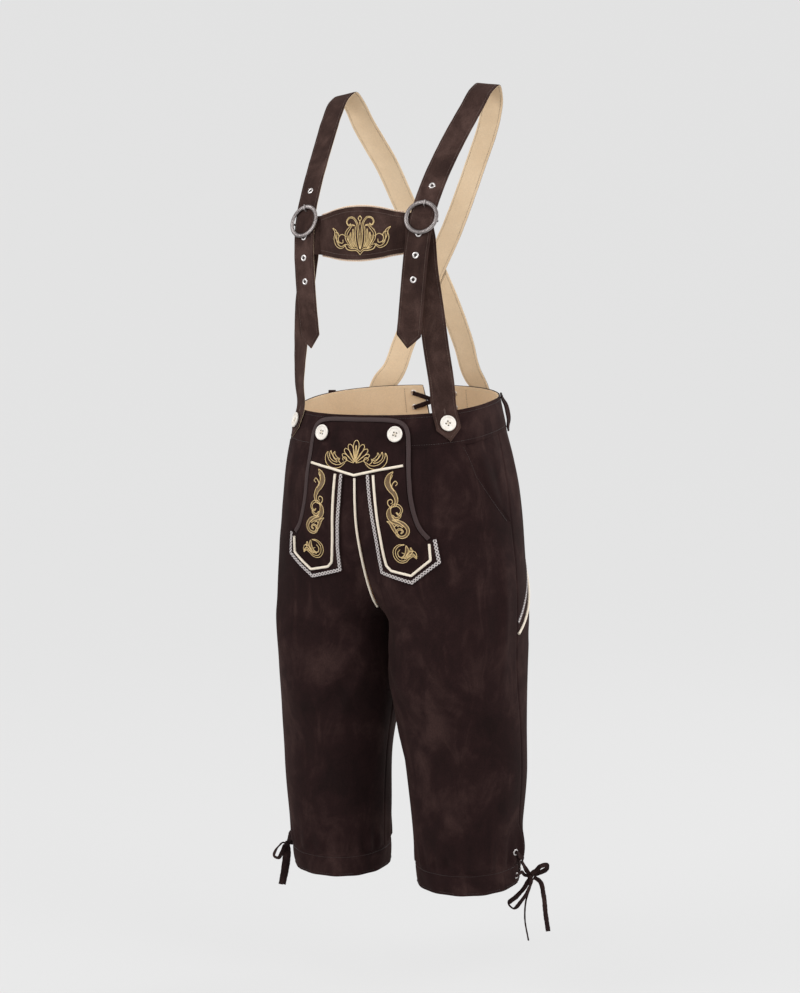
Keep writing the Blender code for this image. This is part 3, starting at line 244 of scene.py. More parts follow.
def surfaceNormal(surface, first, drop):
    # cross product of two short steps on the surface, turned away from the body's middle line
    step = 2e-4
    along = surface(first + step, drop) - surface(first - step, drop)
    down = surface(first, drop + step) - surface(first, drop - step)
    normal = unit(np.cross(along, down))
    here = surface(first, drop)
    side = 0.10 * np.clip(drop / 0.3, 0, 1) * (1 if surface is girthPoint else np.sign(first + 1e-9))
    outward = here - np.stack(np.broadcast_arrays(side, 0 * here[..., 1], here[..., 2]), -1)
    return normal * np.sign((normal * outward).sum(-1))[..., None]


def raised(surface, first, drop, height):
    # the surface moved out along its normal by a height
    first, drop, height = np.broadcast_arrays(*(np.asarray(v, float) for v in (first, drop, height)))
    return surface(first, drop) + surfaceNormal(surface, first, drop) * height[..., None]


def centreAngle(drop, toward):
    # the angle where a section reaches the middle plane, or nearly half a turn below the crotch
    at = girthAt(drop)
    square = at["frontSquare"] if toward > 0 else at["backSquare"]
    part = np.clip((bodySet["seamGap"] / 2 - at["centreX"]) / at["half"], -1, 1)
    angle = np.arccos(np.sign(part) * np.abs(part) ** (square / 2))
    return toward * np.minimum(angle, math.pi - bodySet["seamGap"] / 2 / bodySet["legRadius"])


def seamOpening(drop):
    # half the width between the panels at the side seam, which opens into the slit above the hem
    top = bodySet["outseam"] - bodySet["slit"]
    opened = np.clip((drop - top) / bodySet["slit"], 0, 1)
    return bodySet["seamGap"] / 2 + (bodySet["slitHalf"] - bodySet["seamGap"] / 2) * opened ** 0.7


def sideAngle(drop, toward):
    # the angle where the front (1) or the back (-1) begins at the side seam
    at = girthAt(drop)
    seam = np.sin(np.radians(at["seam"])) ** (2 / at["backSquare"])
    forward = -at["back"] * seam + toward * seamOpening(drop)
    depth = np.where(forward >= 0, at["front"], at["back"])
    square = np.where(forward >= 0, at["frontSquare"], at["backSquare"])
    return np.sign(forward) * np.arcsin((np.abs(forward) / depth) ** (square / 2))


# creases of the worn cloth: where each begins and ends, how wide and deep, and which legs have it.
# Angles are in degrees from the side, forward above zero; a fold stands out and a dip is below zero.
creaseRows = (
    # angle, drop, angle, drop, width, depth, sides
    (150, 0.345, 95, 0.470, 0.012, 0.0042, "both"),
    (155, 0.365, 110, 0.520, 0.013, 0.0046, "both"),
    (160, 0.400, 120, 0.590, 0.014, 0.0040, "left"),
    (140, 0.330, 70, 0.400, 0.013, 0.0028, "left"),
    (130, 0.320, 85, 0.350, 0.010, 0.0024, "right"),
    (35, 0.230, 60, 0.420, 0.018, 0.0026, "both"),
    (20, 0.200, 30, 0.400, 0.014, -0.0022, "left"),
    (12, 0.215, 20, 0.470, 0.013, 0.0030, "left"),
    (50, 0.060, 48, 0.140, 0.010, 0.0018, "both"),
    (18, 0.060, 12, 0.150, 0.010, 0.0030, "both"),
    (8, 0.075, 4, 0.170, 0.008, -0.0028, "both"),
    (-14, 0.060, -10, 0.180, 0.012, 0.0026, "both"),
    (70, 0.520, 120, 0.640, 0.018, -0.0026, "both"),
    (60, 0.600, 100, 0.690, 0.016, 0.0028, "left"),
    (100, 0.640, 60, 0.700, 0.014, -0.0024, "right"),
    (-150, 0.345, -95, 0.400, 0.014, 0.0050, "both"),
    (-155, 0.360, -100, 0.470, 0.014, -0.0040, "both"),
    (-160, 0.385, -110, 0.560, 0.015, 0.0042, "both"),
    (-75, 0.290, -40, 0.340, 0.016, 0.0034, "both"),
    (-80, 0.320, -30, 0.380, 0.013, -0.0030, "both"),
    (-85, 0.110, -70, 0.270, 0.018, -0.0026, "both"),
    (-60, 0.560, -110, 0.650, 0.018, 0.0030, "both"),
    (-70, 0.620, -30, 0.690, 0.014, -0.0028, "both"),
    (-13, 0.660, -13, 0.735, 0.015, 0.0078, "left"),
)
clothSet = {
    "swell": 0.0016,
    "hemGather": 0.0024,
    "hemGathers": 21,
    "waistGather": 0.0012,
    "flapReach": (0.137, 0.262),
}


def wrapped(angle):
    return (np.degrees(angle) + 180) % 360 - 180


def clothHeight(angle, drop, side):
    # sum of the listed folds (bell across, sine along), slow swells and small gathers at hem and waistband
    angle, drop = np.broadcast_arrays(np.asarray(angle, float), np.asarray(drop, float))
    turn = wrapped(angle)
    girth = np.interp(drop, (0.05, 0.3, 0.4, 0.756), (0.0029, 0.0026, 0.0018, 0.0015))
    height = np.zeros(turn.shape)
    for a0, d0, a1, d1, width, depth, sides in creaseRows:
        if sides != "both" and sides != ("left" if side > 0 else "right"):
            continue
        ax, ay = (a1 - a0) * girth, d1 - d0
        px, py = (turn - a0) * girth, drop - d0
        along = (px * ax + py * ay) / (ax * ax + ay * ay)
        off = np.abs(px * ay - py * ax) / np.hypot(ax, ay)
        hold = np.clip(np.sin(math.pi * np.clip(along, 0, 1)), 0, 1) ** 0.8
        height += depth * hold * np.exp(-((off / width) ** 2))
    phase = 0.7 * side
    slow = np.sin(turn * 0.052 + 11 * drop + phase) * np.cos(turn * 0.023 - 17 * drop + 2 * phase)
    slow = slow + 0.6 * np.sin(turn * 0.081 - 23 * drop + 1.3 * phase)
    height += clothSet["swell"] * slow * np.clip(drop / 0.12, 0, 1)
    hem = bodySet["outseam"] - bodySet["cuff"]
    near = np.exp(-(((drop - hem + 0.006) / 0.028) ** 2))
    ripple = np.sin(np.radians(turn) * clothSet["hemGathers"] + 1.7 * np.sin(np.radians(turn) * 3 + phase))
    height += clothSet["hemGather"] * near * ripple
    near = np.exp(-(((drop - bodySet["waistband"]) / 0.030) ** 2))
    height += clothSet["waistGather"] * near * np.sin(np.radians(turn) * 17 + 2 * np.sin(np.radians(turn) * 5))
    # the cloth lies flat under the fall front, and stays under the waistband and in the cuff
    x = np.abs(girthPoint(angle, drop)[..., 0])
    front = (np.sin(angle) > 0) * np.clip((clothSet["flapReach"][0] - x) / 0.012, 0, 1)
    front = front * np.clip((clothSet["flapReach"][1] + 0.012 - drop) / 0.012, 0, 1)
    edge = np.clip((drop - bodySet["waistband"]) / 0.010, 0, 1) * np.clip((hem - drop) / 0.006, 0, 1)
    return height * (1 - front) * edge


# making meshes from whole arrays
def gridPart(points, wrap=False, finish=0):
    # faces between neighbouring rows and columns; the map runs in metres along both
    index = np.arange(points.size // 3).reshape(points.shape[:2])
    wide = closed(points) if wrap else points
    steps = [np.linalg.norm(np.diff(wide, axis=axis), axis=2).mean(1 - axis) for axis in (1, 0)]
    u, v = (np.concatenate([[0], np.cumsum(step)]) for step in steps)
    uv = np.stack(np.broadcast_arrays(u[None], v[:, None]), -1).reshape(-1, 2)
    corner = cellsOf(np.arange(wide.size // 3).reshape(wide.shape[:2]))
    return {"points": points.reshape(-1, 3), "faces": cellsOf(closed(index) if wrap else index),
            "uv": uv[corner], "finish": finish}


def merged(parts):
    # several parts as one, with their points renumbered
    starts = np.cumsum([0] + [len(part["points"]) for part in parts])
    finish = [np.broadcast_to(part["finish"], len(part["faces"])) for part in parts]
    return {"points": np.concatenate([part["points"] for part in parts]),
            "faces": np.concatenate([part["faces"] + start for part, start in zip(parts, starts)]),
            "uv": np.concatenate([part["uv"] for part in parts]), "finish": np.concatenate(finish)}


def outwardTurned(part):
    # a closed form whose volume comes out below zero has all its faces turned round
    a, b, c, d = (part["points"][part["faces"][:, i]] for i in range(4))
    volume = (a * np.cross(b, c)).sum() + (a * np.cross(c, d)).sum()
    if volume < 0:
        part["faces"] = part["faces"][:, ::-1]
        part["uv"] = part["uv"][:, ::-1]
    return part


def shellPart(outer, inner, finishes=(0, 0, 0, 0), bulge=0.3):
    # two layers of one cloth joined round all free edges by a rounded rim; finishes are those of the
    # face, the back, the rim's front half and its back half
    rows, columns = outer.shape[:2]
    count = rows * columns
    face, back = gridPart(outer), gridPart(inner)
    index = np.arange(2 * count).reshape(2, rows, columns)
    whole = slice(None)
    lines = (((0, whole), (1, whole), 1), ((rows - 1, whole), (rows - 2, whole), -1),
             ((whole, 0), (whole, 1), -1), ((whole, columns - 1), (whole, columns - 2), 1))
    edges, halves, middles, offset = [], [], [], 2 * count
    for line, inward, order in lines:
        out = unit(outer[line] - outer[inward])
        thick = np.linalg.norm(outer[line] - inner[line], axis=-1, keepdims=True)
        middle = (outer[line] + inner[line]) / 2 + out * thick * bulge
        middle[[0, -1]] = (outer[line] + inner[line])[[0, -1]] / 2
        low = offset + np.arange(len(middle))
        offset += len(middle)
        middles.append(middle)
        for first, second, finish in ((index[0][line], low, finishes[2]), (low, index[1][line], finishes[3])):
            strip = np.stack([first[:-1], first[1:], second[1:], second[:-1]], -1)
            edges.append(strip[:, ::order])
            halves.append(np.full(len(strip), finish))
    rim = np.concatenate(edges)
    return outwardTurned({
        "points": np.concatenate([face["points"], back["points"], *middles]),
        "faces": np.concatenate([face["faces"], back["faces"][:, ::-1] + count, rim]),
        "uv": np.concatenate([face["uv"], back["uv"][:, ::-1], np.zeros((len(rim), 4, 2))]),
        "finish": np.concatenate([np.repeat(finishes[:2], len(face["faces"])), *halves]),
    })


def sweepPart(path, across, up, profile, wide=1.0, tall=1.0, finish=0, loop=False):
    # a closed profile carried along a path: place + across * wide * p + up * tall * q; its ends are
    # drawn in and closed, or joined in a loop
    wide, tall = (np.broadcast_to(size, len(path))[:, None, None] for size in (wide, tall))
    rings = (path[:, None] + across[:, None] * profile[None, :, :1] * wide
             + up[:, None] * profile[None, :, 1:] * tall)
    if loop:
        return outwardTurned(gridPart(np.concatenate([rings, rings[:1]]), True, finish))
    start, stop = rings[:1].mean(1, keepdims=True), rings[-1:].mean(1, keepdims=True)
    first, last = start + (rings[:1] - start) * 0.55, stop + (rings[-1:] - stop) * 0.55
    rings = np.concatenate([start + 0 * first, first, rings, last, stop + 0 * last])
    return outwardTurned(gridPart(rings, True, finish))


def roundProfile(count, width, height):
    # points round an ellipse
    turn = turnsOf(count)
    return np.stack([np.cos(turn) * width, np.sin(turn) * height], 1)


def pathFrame(path, face):
    # directions across a path and out of the cloth that it lies on
    tangent = unit(np.gradient(path, axis=0))
    face = unit(face - (face * tangent).sum(-1, keepdims=True) * tangent)
    return unit(np.cross(tangent, face)), face


def freeFrame(path):
    # a frame that turns as little as it can along a free path
    tangent = unit(np.gradient(path, axis=0))
    up = np.zeros_like(path)
    start = np.cross(tangent[0], (0.31, 0.87, 0.38))
    up[0] = start / np.linalg.norm(start)
    for i in range(1, len(path)):  # each frame follows from the one before it
        turned = up[i - 1] - tangent[i] * up[i - 1].dot(tangent[i])
        up[i] = turned / np.linalg.norm(turned)
    return np.cross(tangent, up), up


def readAt(places, run, rows):
    # rows read between their distances
    return np.stack([np.interp(places, run, row) for row in rows.T], -1)


def smoothLine(points, places):
    # a cubic through the points, read at this many even distances
    points = np.asarray(points, float)
    length = runOf(points)
    fine = np.linspace(0, length[-1], 24 * len(points))
    slope = np.gradient(points, length, axis=0)
    cell = np.clip(np.searchsorted(length, fine) - 1, 0, len(length) - 2)
    step = (length[cell + 1] - length[cell])[:, None]
    t = (fine - length[cell])[:, None] / step
    curve = ((1 + 2 * t) * (1 - t) ** 2 * points[cell] + t * (1 - t) ** 2 * step * slope[cell]
             + t * t * (3 - 2 * t) * points[cell + 1] - t * t * (1 - t) * step * slope[cell + 1])
    run = runOf(curve)
    return readAt(np.linspace(0, run[-1], places), run, curve)


def runOf(points):
    # the distance along a line to each of its points
    points = np.asarray(points, float)[:, :3]
    return np.concatenate([[0], np.cumsum(np.linalg.norm(np.diff(points, axis=0), axis=1))])


def evenly(path, spacing, inset=0.0):
    # the line again with points a spacing apart, leaving out an inset at both ends
    run = runOf(path)
    count = max(2, int((run[-1] - 2 * inset) / spacing) + 1)
    return readAt(np.linspace(inset, run[-1] - inset, count), run, path)


stitchSet = {
    "length": 0.0026,
    "pitch": 0.0036,
    "radius": 0.00030,
    "swell": (0.45, 0.95, 1.05, 0.95, 0.45),
    "sides": 5,
}


def stitchPart(path, face, scale=1.0, pitch=None, length=None):
    # a row of short threads that rise out of the cloth and dip back into it
    s = stitchSet
    pitch = pitch or s["pitch"] * scale
    length = length or s["length"] * scale
    rows = evenly(np.concatenate([path, face], 1), pitch, pitch / 2)
    centre, up = rows[:, :3], unit(rows[:, 3:])
    along = unit(np.gradient(centre, axis=0))
    up = unit(up - (up * along).sum(1, keepdims=True) * along)
    across = np.cross(along, up)
    t = np.linspace(-1, 1, len(s["swell"]))
    radius = s["radius"] * scale * np.array(s["swell"])
    lift = s["radius"] * scale * (1.3 * (1 - np.abs(t) ** 3) - 0.7)
    ring = roundProfile(s["sides"], 1.0, 1.0)
    spine = (centre[:, None] + along[:, None] * (t * length / 2)[None, :, None]
             + up[:, None] * lift[None, :, None])
    points = spine[:, :, None] + radius[None, :, None, None] * (
        across[:, None, None] * ring[None, None, :, :1] + up[:, None, None] * ring[None, None, :, 1:])
    # each end is closed by a four-sided face and a three-sided one, whose last corner is given twice
    one = np.arange(len(t) * s["sides"]).reshape(len(t), s["sides"])
    a, b = one[0], one[-1]
    caps = [[a[0], a[1], a[2], a[3]], [a[0], a[3], a[4], a[4]], [b[3], b[2], b[1], b[0]],
            [b[4], b[4], b[3], b[0]]]
    faces = np.concatenate([cellsOf(closed(one)), caps])
    faces = (faces[None] + (np.arange(len(centre)) * one.size)[:, None, None]).reshape(-1, 4)
    return {"points": points.reshape(-1, 3), "faces": faces, "uv": np.zeros((len(faces), 4, 2)), "finish": 0}


def mirroredPart(part):
    # the same part on the other side, with its faces turned so that they still point out
    return {**part, "points": part["points"] * flips[-1], "faces": part["faces"][:, ::-1],
            "uv": part["uv"][:, ::-1]}


def sided(part, side):
    return part if side > 0 else mirroredPart(part)


def makePiece(name, parts, finishes, replaces=(), wear=None):
    # one mesh object from its parts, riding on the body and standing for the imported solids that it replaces
    made = merged(parts if isinstance(parts, list) else [parts])
    faces = made["faces"]
    # a corner that is given twice is left out, which makes its face three-sided
    keep = np.ones(faces.shape, bool)
    keep[:, 3] = faces[:, 2] != faces[:, 3]
    keep[:, 0] = faces[:, 0] != faces[:, 1]
    starts = np.concatenate([[0], np.cumsum(keep.sum(1))[:-1]])
    mesh = bpy.data.meshes.new(name)
    mesh.vertices.add(len(made["points"]))
    mesh.vertices.foreach_set("co", made["points"].astype(np.float32).ravel())
    mesh.loops.add(int(keep.sum()))
    mesh.loops.foreach_set("vertex_index", faces[keep].astype(np.int32))
    mesh.polygons.add(len(faces))
    mesh.polygons.foreach_set("loop_start", starts.astype(np.int32))
    mesh.polygons.foreach_set("material_index", made["finish"].astype(np.int32))
    mesh.polygons.foreach_set("use_smooth", np.ones(len(faces), bool))
    layer = mesh.uv_layers.new(name="map")
    layer.data.foreach_set("uv", made["uv"][keep].astype(np.float32).ravel())
    if wear is not None:
        attribute = mesh.attributes.new("wear", "FLOAT", "POINT")
        attribute.data.foreach_set("value", np.asarray(wear, np.float32))
    mesh.update(calc_edges=True)
    mesh.validate()
    mesh.set_sharp_from_angle(angle=math.radians(50))
    for finish in finishes:
        mesh.materials.append(finish)
    thing = placed(name, mesh)
    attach(thing, "root")
    if replaces:
        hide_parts(*replaces)
    return thing


# finishes
def paint(colour):
    # a colour as seen on a screen, turned to the linear values that the shader takes
    values = np.array(colour) / 255
    linear = np.where(values <= 0.04045, values / 12.92, ((values + 0.055) / 1.055) ** 2.4)
    return (*(float(v) for v in linear), 1.0)


def startFinish(name, roughness, metallic=0.0, sheen=0.0, sheenTint=(255, 255, 255), coat=0.0, specular=0.5):
    made = bpy.data.materials.new(name)
    made.use_nodes = True
    shader = made.node_tree.nodes["Principled BSDF"]
    for key, value in (("Roughness", roughness), ("Metallic", metallic), ("Sheen Weight", sheen),
                       ("Sheen Roughness", 0.45), ("Sheen Tint", paint(sheenTint)), ("Coat Weight", coat),
                       ("Specular IOR Level", specular)):
        shader.inputs[key].default_value = value
    return made, made.node_tree


def addNode(tree, kind, values=None, **settings):
    # a node with its settings, and values or links for its inputs
    node = tree.nodes.new(kind)
    for key, value in settings.items():
        setattr(node, key, value)
    for key, value in (values or {}).items():
        if isinstance(value, bpy.types.NodeSocket):
            tree.links.new(value, node.inputs[key])
        else:
            node.inputs[key].default_value = value
    return node


def noiseOf(tree, place, scale, detail=3.0, roughness=0.55, stretch=None, distortion=0.0):
    # noise of so many lumps to the metre, on a stretched place where asked
    if stretch is not None:
        place = addNode(tree, "ShaderNodeMapping", {"Vector": place, "Scale": stretch}).outputs["Vector"]
    return addNode(tree, "ShaderNodeTexNoise",
                   {"Vector": place, "Scale": scale, "Detail": detail, "Roughness": roughness,
                    "Distortion": distortion}).outputs["Fac"]


def rampOf(tree, value, *stops):
    # a colour ramp of (position, colour) stops; a single number is a grey
    ramp = addNode(tree, "ShaderNodeValToRGB", {"Fac": value})
    band = ramp.color_ramp
    while len(band.elements) < len(stops):
        band.elements.new(0.5)
    for element, (position, colour) in zip(band.elements, stops):
        element.position = position
        colour = (colour,) * 3 if isinstance(colour, float) else colour
        element.color = (*colour[:3], 1)
    return ramp.outputs["Color"]


def mixOf(tree, share, first, second, blend="MIX"):
    return addNode(tree, "ShaderNodeMix", {0: share, 6: first, 7: second}, data_type="RGBA",
                   blend_type=blend).outputs[2]


def mathOf(tree, operation, first, second=0.0, third=0.0):
    return addNode(tree, "ShaderNodeMath", {0: first, 1: second, 2: third}, operation=operation).outputs[0]


def bumpOf(tree, height, distance, strength=1.0, before=None):
    values = {"Height": height, "Distance": distance, "Strength": strength}
    if before is not None:
        values["Normal"] = before
    return addNode(tree, "ShaderNodeBump", values).outputs["Normal"]


def placeOf(tree, kind="Object"):
    return addNode(tree, "ShaderNodeTexCoord").outputs[kind]


def rangeOf(tree, value, low, high):
    return addNode(tree, "ShaderNodeMapRange", {"Value": value, "To Min": low, "To Max": high}).outputs[0]


def shaded(tree, tone, value, *stops):
    # a tone darkened and lightened by a ramp of greys
    return mixOf(tree, 1.0, tone, rampOf(tree, value, *stops), "MULTIPLY")


def finished(made, colour, normal, roughness=None):
    # the shader's colour, normal and roughness come from their nodes
    tree = made.node_tree
    for key, socket in (("Base Color", colour), ("Normal", normal), ("Roughness", roughness)):
        if socket is not None:
            tree.links.new(socket, tree.nodes["Principled BSDF"].inputs[key])
    return made


def suedeFinish(name, tones, patch=8.0, sheen=0.10):
    # brushed suede: broad light patches, streaks where the nap lies down, and a fine pile
    made, tree = startFinish(name, 0.92, sheen=sheen, sheenTint=(150, 118, 104), specular=0.10)
    place = placeOf(tree)
    broad = noiseOf(tree, place, patch, 4.0, 0.6, distortion=0.6)
    streak = noiseOf(tree, place, 26.0, 4.0, 0.65, stretch=(1.0, 1.0, 0.45), distortion=1.2)
    both = mathOf(tree, "ADD", mathOf(tree, "MULTIPLY", broad, 0.6), mathOf(tree, "MULTIPLY", streak, 0.4))
    tone = rampOf(tree, both, *zip((0.38, 0.50, 0.65), map(paint, tones)))
    grain = noiseOf(tree, place, 620.0, 3.0, 0.7)
    normal = bumpOf(tree, noiseOf(tree, place, 1500.0, 2.0, 0.6), 0.00025, 0.55)
    normal = bumpOf(tree, noiseOf(tree, place, 240.0, 3.0, 0.6), 0.0004, 0.35, normal)
    return finished(made, shaded(tree, tone, grain, (0.30, 0.72), (0.70, (1.22, 1.20, 1.18))), normal,
                    rangeOf(tree, streak, 0.84, 0.98))


def leatherFinish(name, tones, roughness, wrinkle=70.0):
    # smooth leather: small pebbles, faint wrinkles and a slow change of tone
    made, tree = startFinish(name, roughness, specular=0.35)
    place = placeOf(tree)
    broad = noiseOf(tree, place, 14.0, 4.0, 0.6, distortion=0.5)
    fine = noiseOf(tree, place, 420.0, 3.0, 0.6)
    tone = mixOf(tree, broad, *map(paint, tones))
    cells = addNode(tree, "ShaderNodeTexVoronoi", {"Vector": place, "Scale": 900.0}, feature="F1")
    normal = bumpOf(tree, cells.outputs["Distance"], 0.00012, 0.5)
    normal = bumpOf(tree, noiseOf(tree, place, wrinkle, 4.0, 0.6, distortion=1.5), 0.0012, 0.5, normal)
    return finished(made, shaded(tree, tone, fine, (0.30, 0.93), (0.72, 1.04)), normal,
                    rangeOf(tree, fine, roughness - 0.08, roughness + 0.08))


def threadFinish(name, tones):
    # spun thread: fine slanting plies that change the tone
    made, tree = startFinish(name, 0.55, sheen=0.3, specular=0.4)
    ply = addNode(tree, "ShaderNodeTexWave",
                  {"Vector": placeOf(tree), "Scale": 2600.0 / 6.0, "Distortion": 2.0},
                  bands_direction="DIAGONAL").outputs["Fac"]
    return finished(made, mixOf(tree, ply, *map(paint, tones)), bumpOf(tree, ply, 0.0001, 0.5))


def satinFinish(name, tones):
    # satin stitch: threads laid side by side across the shape, read from the shape's own map
    made, tree = startFinish(name, 0.42, sheen=0.25, sheenTint=(255, 235, 190), specular=0.6)
    slant = addNode(tree, "ShaderNodeMapping", {"Vector": placeOf(tree, "UV"), "Rotation": (0, 0, 0.5)})
    laid = addNode(tree, "ShaderNodeTexWave",
                   {"Vector": slant.outputs["Vector"], "Scale": 360.0, "Distortion": 0.6, "Detail": 1.0},
                   bands_direction="Y").outputs["Fac"]
    tone = rampOf(tree, laid, *zip((0.05, 0.45, 0.9), map(paint, tones)))
    broad = noiseOf(tree, placeOf(tree), 160.0, 2.0)
    return finished(made, shaded(tree, tone, broad, (0.3, (0.80, 0.78, 0.74)), (0.7, 1.1)),
                    bumpOf(tree, laid, 0.0002, 0.7))


def braidFinish(name, tones):
    # woven braid: two sets of slanting strands cross, with a dark dot between them, from the strip's map
    made, tree = startFinish(name, 0.75, sheen=0.2, specular=0.3)
    place = addNode(tree, "ShaderNodeSeparateXYZ", {"Vector": placeOf(tree, "UV")})
    strands = []
    for operation in ("ADD", "SUBTRACT"):
        slant = mathOf(tree, operation, place.outputs["X"], place.outputs["Y"])
        strands.append(mathOf(tree, "SINE", mathOf(tree, "MULTIPLY", slant, 2 * math.pi / braidSet["pitch"])))
    high = mathOf(tree, "MULTIPLY_ADD", mathOf(tree, "MAXIMUM", *strands), 0.5, 0.5)
    tone = rampOf(tree, high, *zip((0.40, 0.56, 0.88), map(paint, tones)))
    fine = noiseOf(tree, placeOf(tree), 1800.0, 2.0)
    return finished(made, shaded(tree, tone, fine, (0.3, 0.82), (0.7, 1.1)), bumpOf(tree, fine, 0.0001, 0.5))


def silverFinish(name, tones, smoothest):
    # antique silver: dark in the engraving, bright where it is rubbed, from the piece's wear values
    made, tree = startFinish(name, 0.34, metallic=1.0)
    wear = addNode(tree, "ShaderNodeAttribute", attribute_name="wear").outputs["Fac"]
    cloud = noiseOf(tree, placeOf(tree), 420.0, 4.0, 0.65)
    both = mathOf(tree, "ADD", mathOf(tree, "MULTIPLY", wear, 0.75), mathOf(tree, "MULTIPLY", cloud, 0.35))
    tone = rampOf(tree, both, *zip((0.18, 0.5, 0.85), map(paint, tones)))
    return finished(made, tone, bumpOf(tree, cloud, 0.0001, 0.3), rangeOf(tree, both, 0.66, smoothest))


def buttonFinish(name, tones):
    # off-white horn: cloudy and satin, the darker clouds a little yellower
    made, tree = startFinish(name, 0.36, coat=0.15, specular=0.5)
    place = placeOf(tree)
    cloud = noiseOf(tree, place, 90.0, 4.0, 0.6, distortion=1.0)
    tone = rampOf(tree, cloud, *zip((0.3, 0.7), map(paint, tones)))
    return finished(made, tone, bumpOf(tree, noiseOf(tree, place, 900.0, 3.0), 0.00005, 0.4),
                    rangeOf(tree, cloud, 0.30, 0.44))


braidSet = {"pitch": 0.0054, "width": 0.0056, "thickness": 0.0009, "relief": 0.00030}
suede = suedeFinish("brushedSuede", ((29, 17, 17), (38, 23, 23), (58, 41, 39)))
strapSuede = suedeFinish("strapSuede", ((46, 32, 29), (58, 42, 38), (80, 61, 56)), 16.0, 0.15)
laceSuede = suedeFinish("laceSuede", ((30, 20, 20), (42, 29, 29), (60, 44, 42)), 40.0)
bindingLeather = leatherFinish("bindingLeather", ((50, 35, 35), (64, 46, 45)), 0.62)
liningLeather = leatherFinish("liningLeather", ((214, 187, 152), (233, 210, 179)), 0.8, 40.0)
facingLeather = leatherFinish("facingLeather", ((226, 198, 162), (244, 220, 188)), 0.8, 26.0)
backingLeather = leatherFinish("backingLeather", ((232, 210, 184), (246, 230, 208)), 0.75)
pipingLeather = leatherFinish("pipingLeather", ((232, 216, 194), (248, 238, 222)), 0.6)
braidThread = braidFinish("braidThread", ((36, 28, 28), (118, 108, 108), (206, 198, 196)))
goldThread = satinFinish("goldThread", ((46, 31, 15), (92, 66, 30), (140, 106, 54)))
paleGold = satinFinish("paleGoldThread", ((186, 146, 80), (224, 192, 128), (246, 226, 176)))
darkThread = threadFinish("darkThread", ((34, 26, 25), (58, 45, 42)))
tanThread = threadFinish("tanThread", ((88, 70, 62), (122, 102, 92)))
rustThread = threadFinish("rustThread", ((158, 88, 68), (192, 120, 94)))
creamThread = threadFinish("creamThread", ((206, 190, 162), (238, 226, 204)))
horn = buttonFinish("hornButton", ((226, 217, 206), (244, 239, 231)))
antiqueSilver = silverFinish("antiqueSilver", ((44, 39, 39), (122, 115, 114), (182, 175, 173)), 0.40)
rubbedSilver = silverFinish("rubbedSilver", ((80, 74, 73), (170, 164, 162), (226, 221, 219)), 0.30)
print("finishes made")

# the trousers: four panels, the hip pieces, the waistband with its facing, cuffs and belt loops
panelSet = {
    "sewnWide": 0.016,
    "rows": 170,
    "columns": 92,
    "seamDip": 0.0011,
    "seamWide": 0.0022,
}
pocketSet = {
    "bottom": 0.183,
    "stitchInset": 0.0062,
    "slit": ((30.3, 0.047), (26.4, 0.068), (22.5, 0.101), (13.5, 0.141), (0.5, 0.186)),
    "inset": 0.0010,
    "depth": 0.0026,
    "gap": 0.0014,
    "thickness": 0.0016,
    "rise": -0.5,
}
waistSet = {
    "gapTop": 0.021,
    "gapBottom": 0.014,
    "facing": 0.0010,
    "stitches": (0.0045, 0.0445),
    "joins": (-0.053, 0.062),
    "eyeletX": 0.038,
    "eyeletDrops": (0.012, 0.036),
    "facingStitches": (0.0450, 0.0040),
    "puff": 0.0005,
    "wave": 0.00035,
    "groove": 0.0004,
    "grooveWide": 0.0022,
}
cuffSet = {
    "lift": 0.0005,
    "thickness": 0.0026,
    "stitches": (0.0035, 0.0315),
    "puff": 0.0007,
    "wave": 0.00045,
    "groove": 0.0006,
    "grooveWide": 0.0020,
}
loopSet = {
    "twist": 0.45,
    "angle": -22.0,
    "width": 0.014,
    "thickness": 0.0024,
    "rows": ((-0.003, 0.0006), (0.006, 0.0014), (0.016, 0.0046), (0.028, 0.0054), (0.040, 0.0046),
             (0.050, 0.0014), (0.057, 0.0006)),
    "stitchReach": 0.0048,
    "barReach": 0.0055,
    "barPlaces": (3, 56),
}


def edged(count, hold=0.86):
    # shares from 0 to 1 that stand closer together near both ends
    share = np.linspace(0, 1, count)
    return share - hold * np.sin(2 * math.pi * share) / (2 * math.pi)


def slitAngle(drop):
    # the pocket opening's edge, which ends at the side seam
    slit = np.array(pocketSet["slit"])
    angle = np.radians(np.interp(drop, slit[:, 1], slit[:, 0]))
    return np.where(drop < slit[-1, 1], angle, -math.pi)


def seamDips(base, rolled):
    # the cloth turns in at its seams: a narrow bell from both long edges
    run = np.linalg.norm(np.diff(base, axis=1), axis=2)
    left = np.concatenate([np.zeros((len(base), 1)), np.cumsum(run, 1)], 1)
    right = left[:, -1:] - left
    wide = panelSet["seamWide"]
    return -panelSet["seamDip"] * (np.exp(-((left / wide) ** 2)) * rolled + np.exp(-((right / wide) ** 2)))


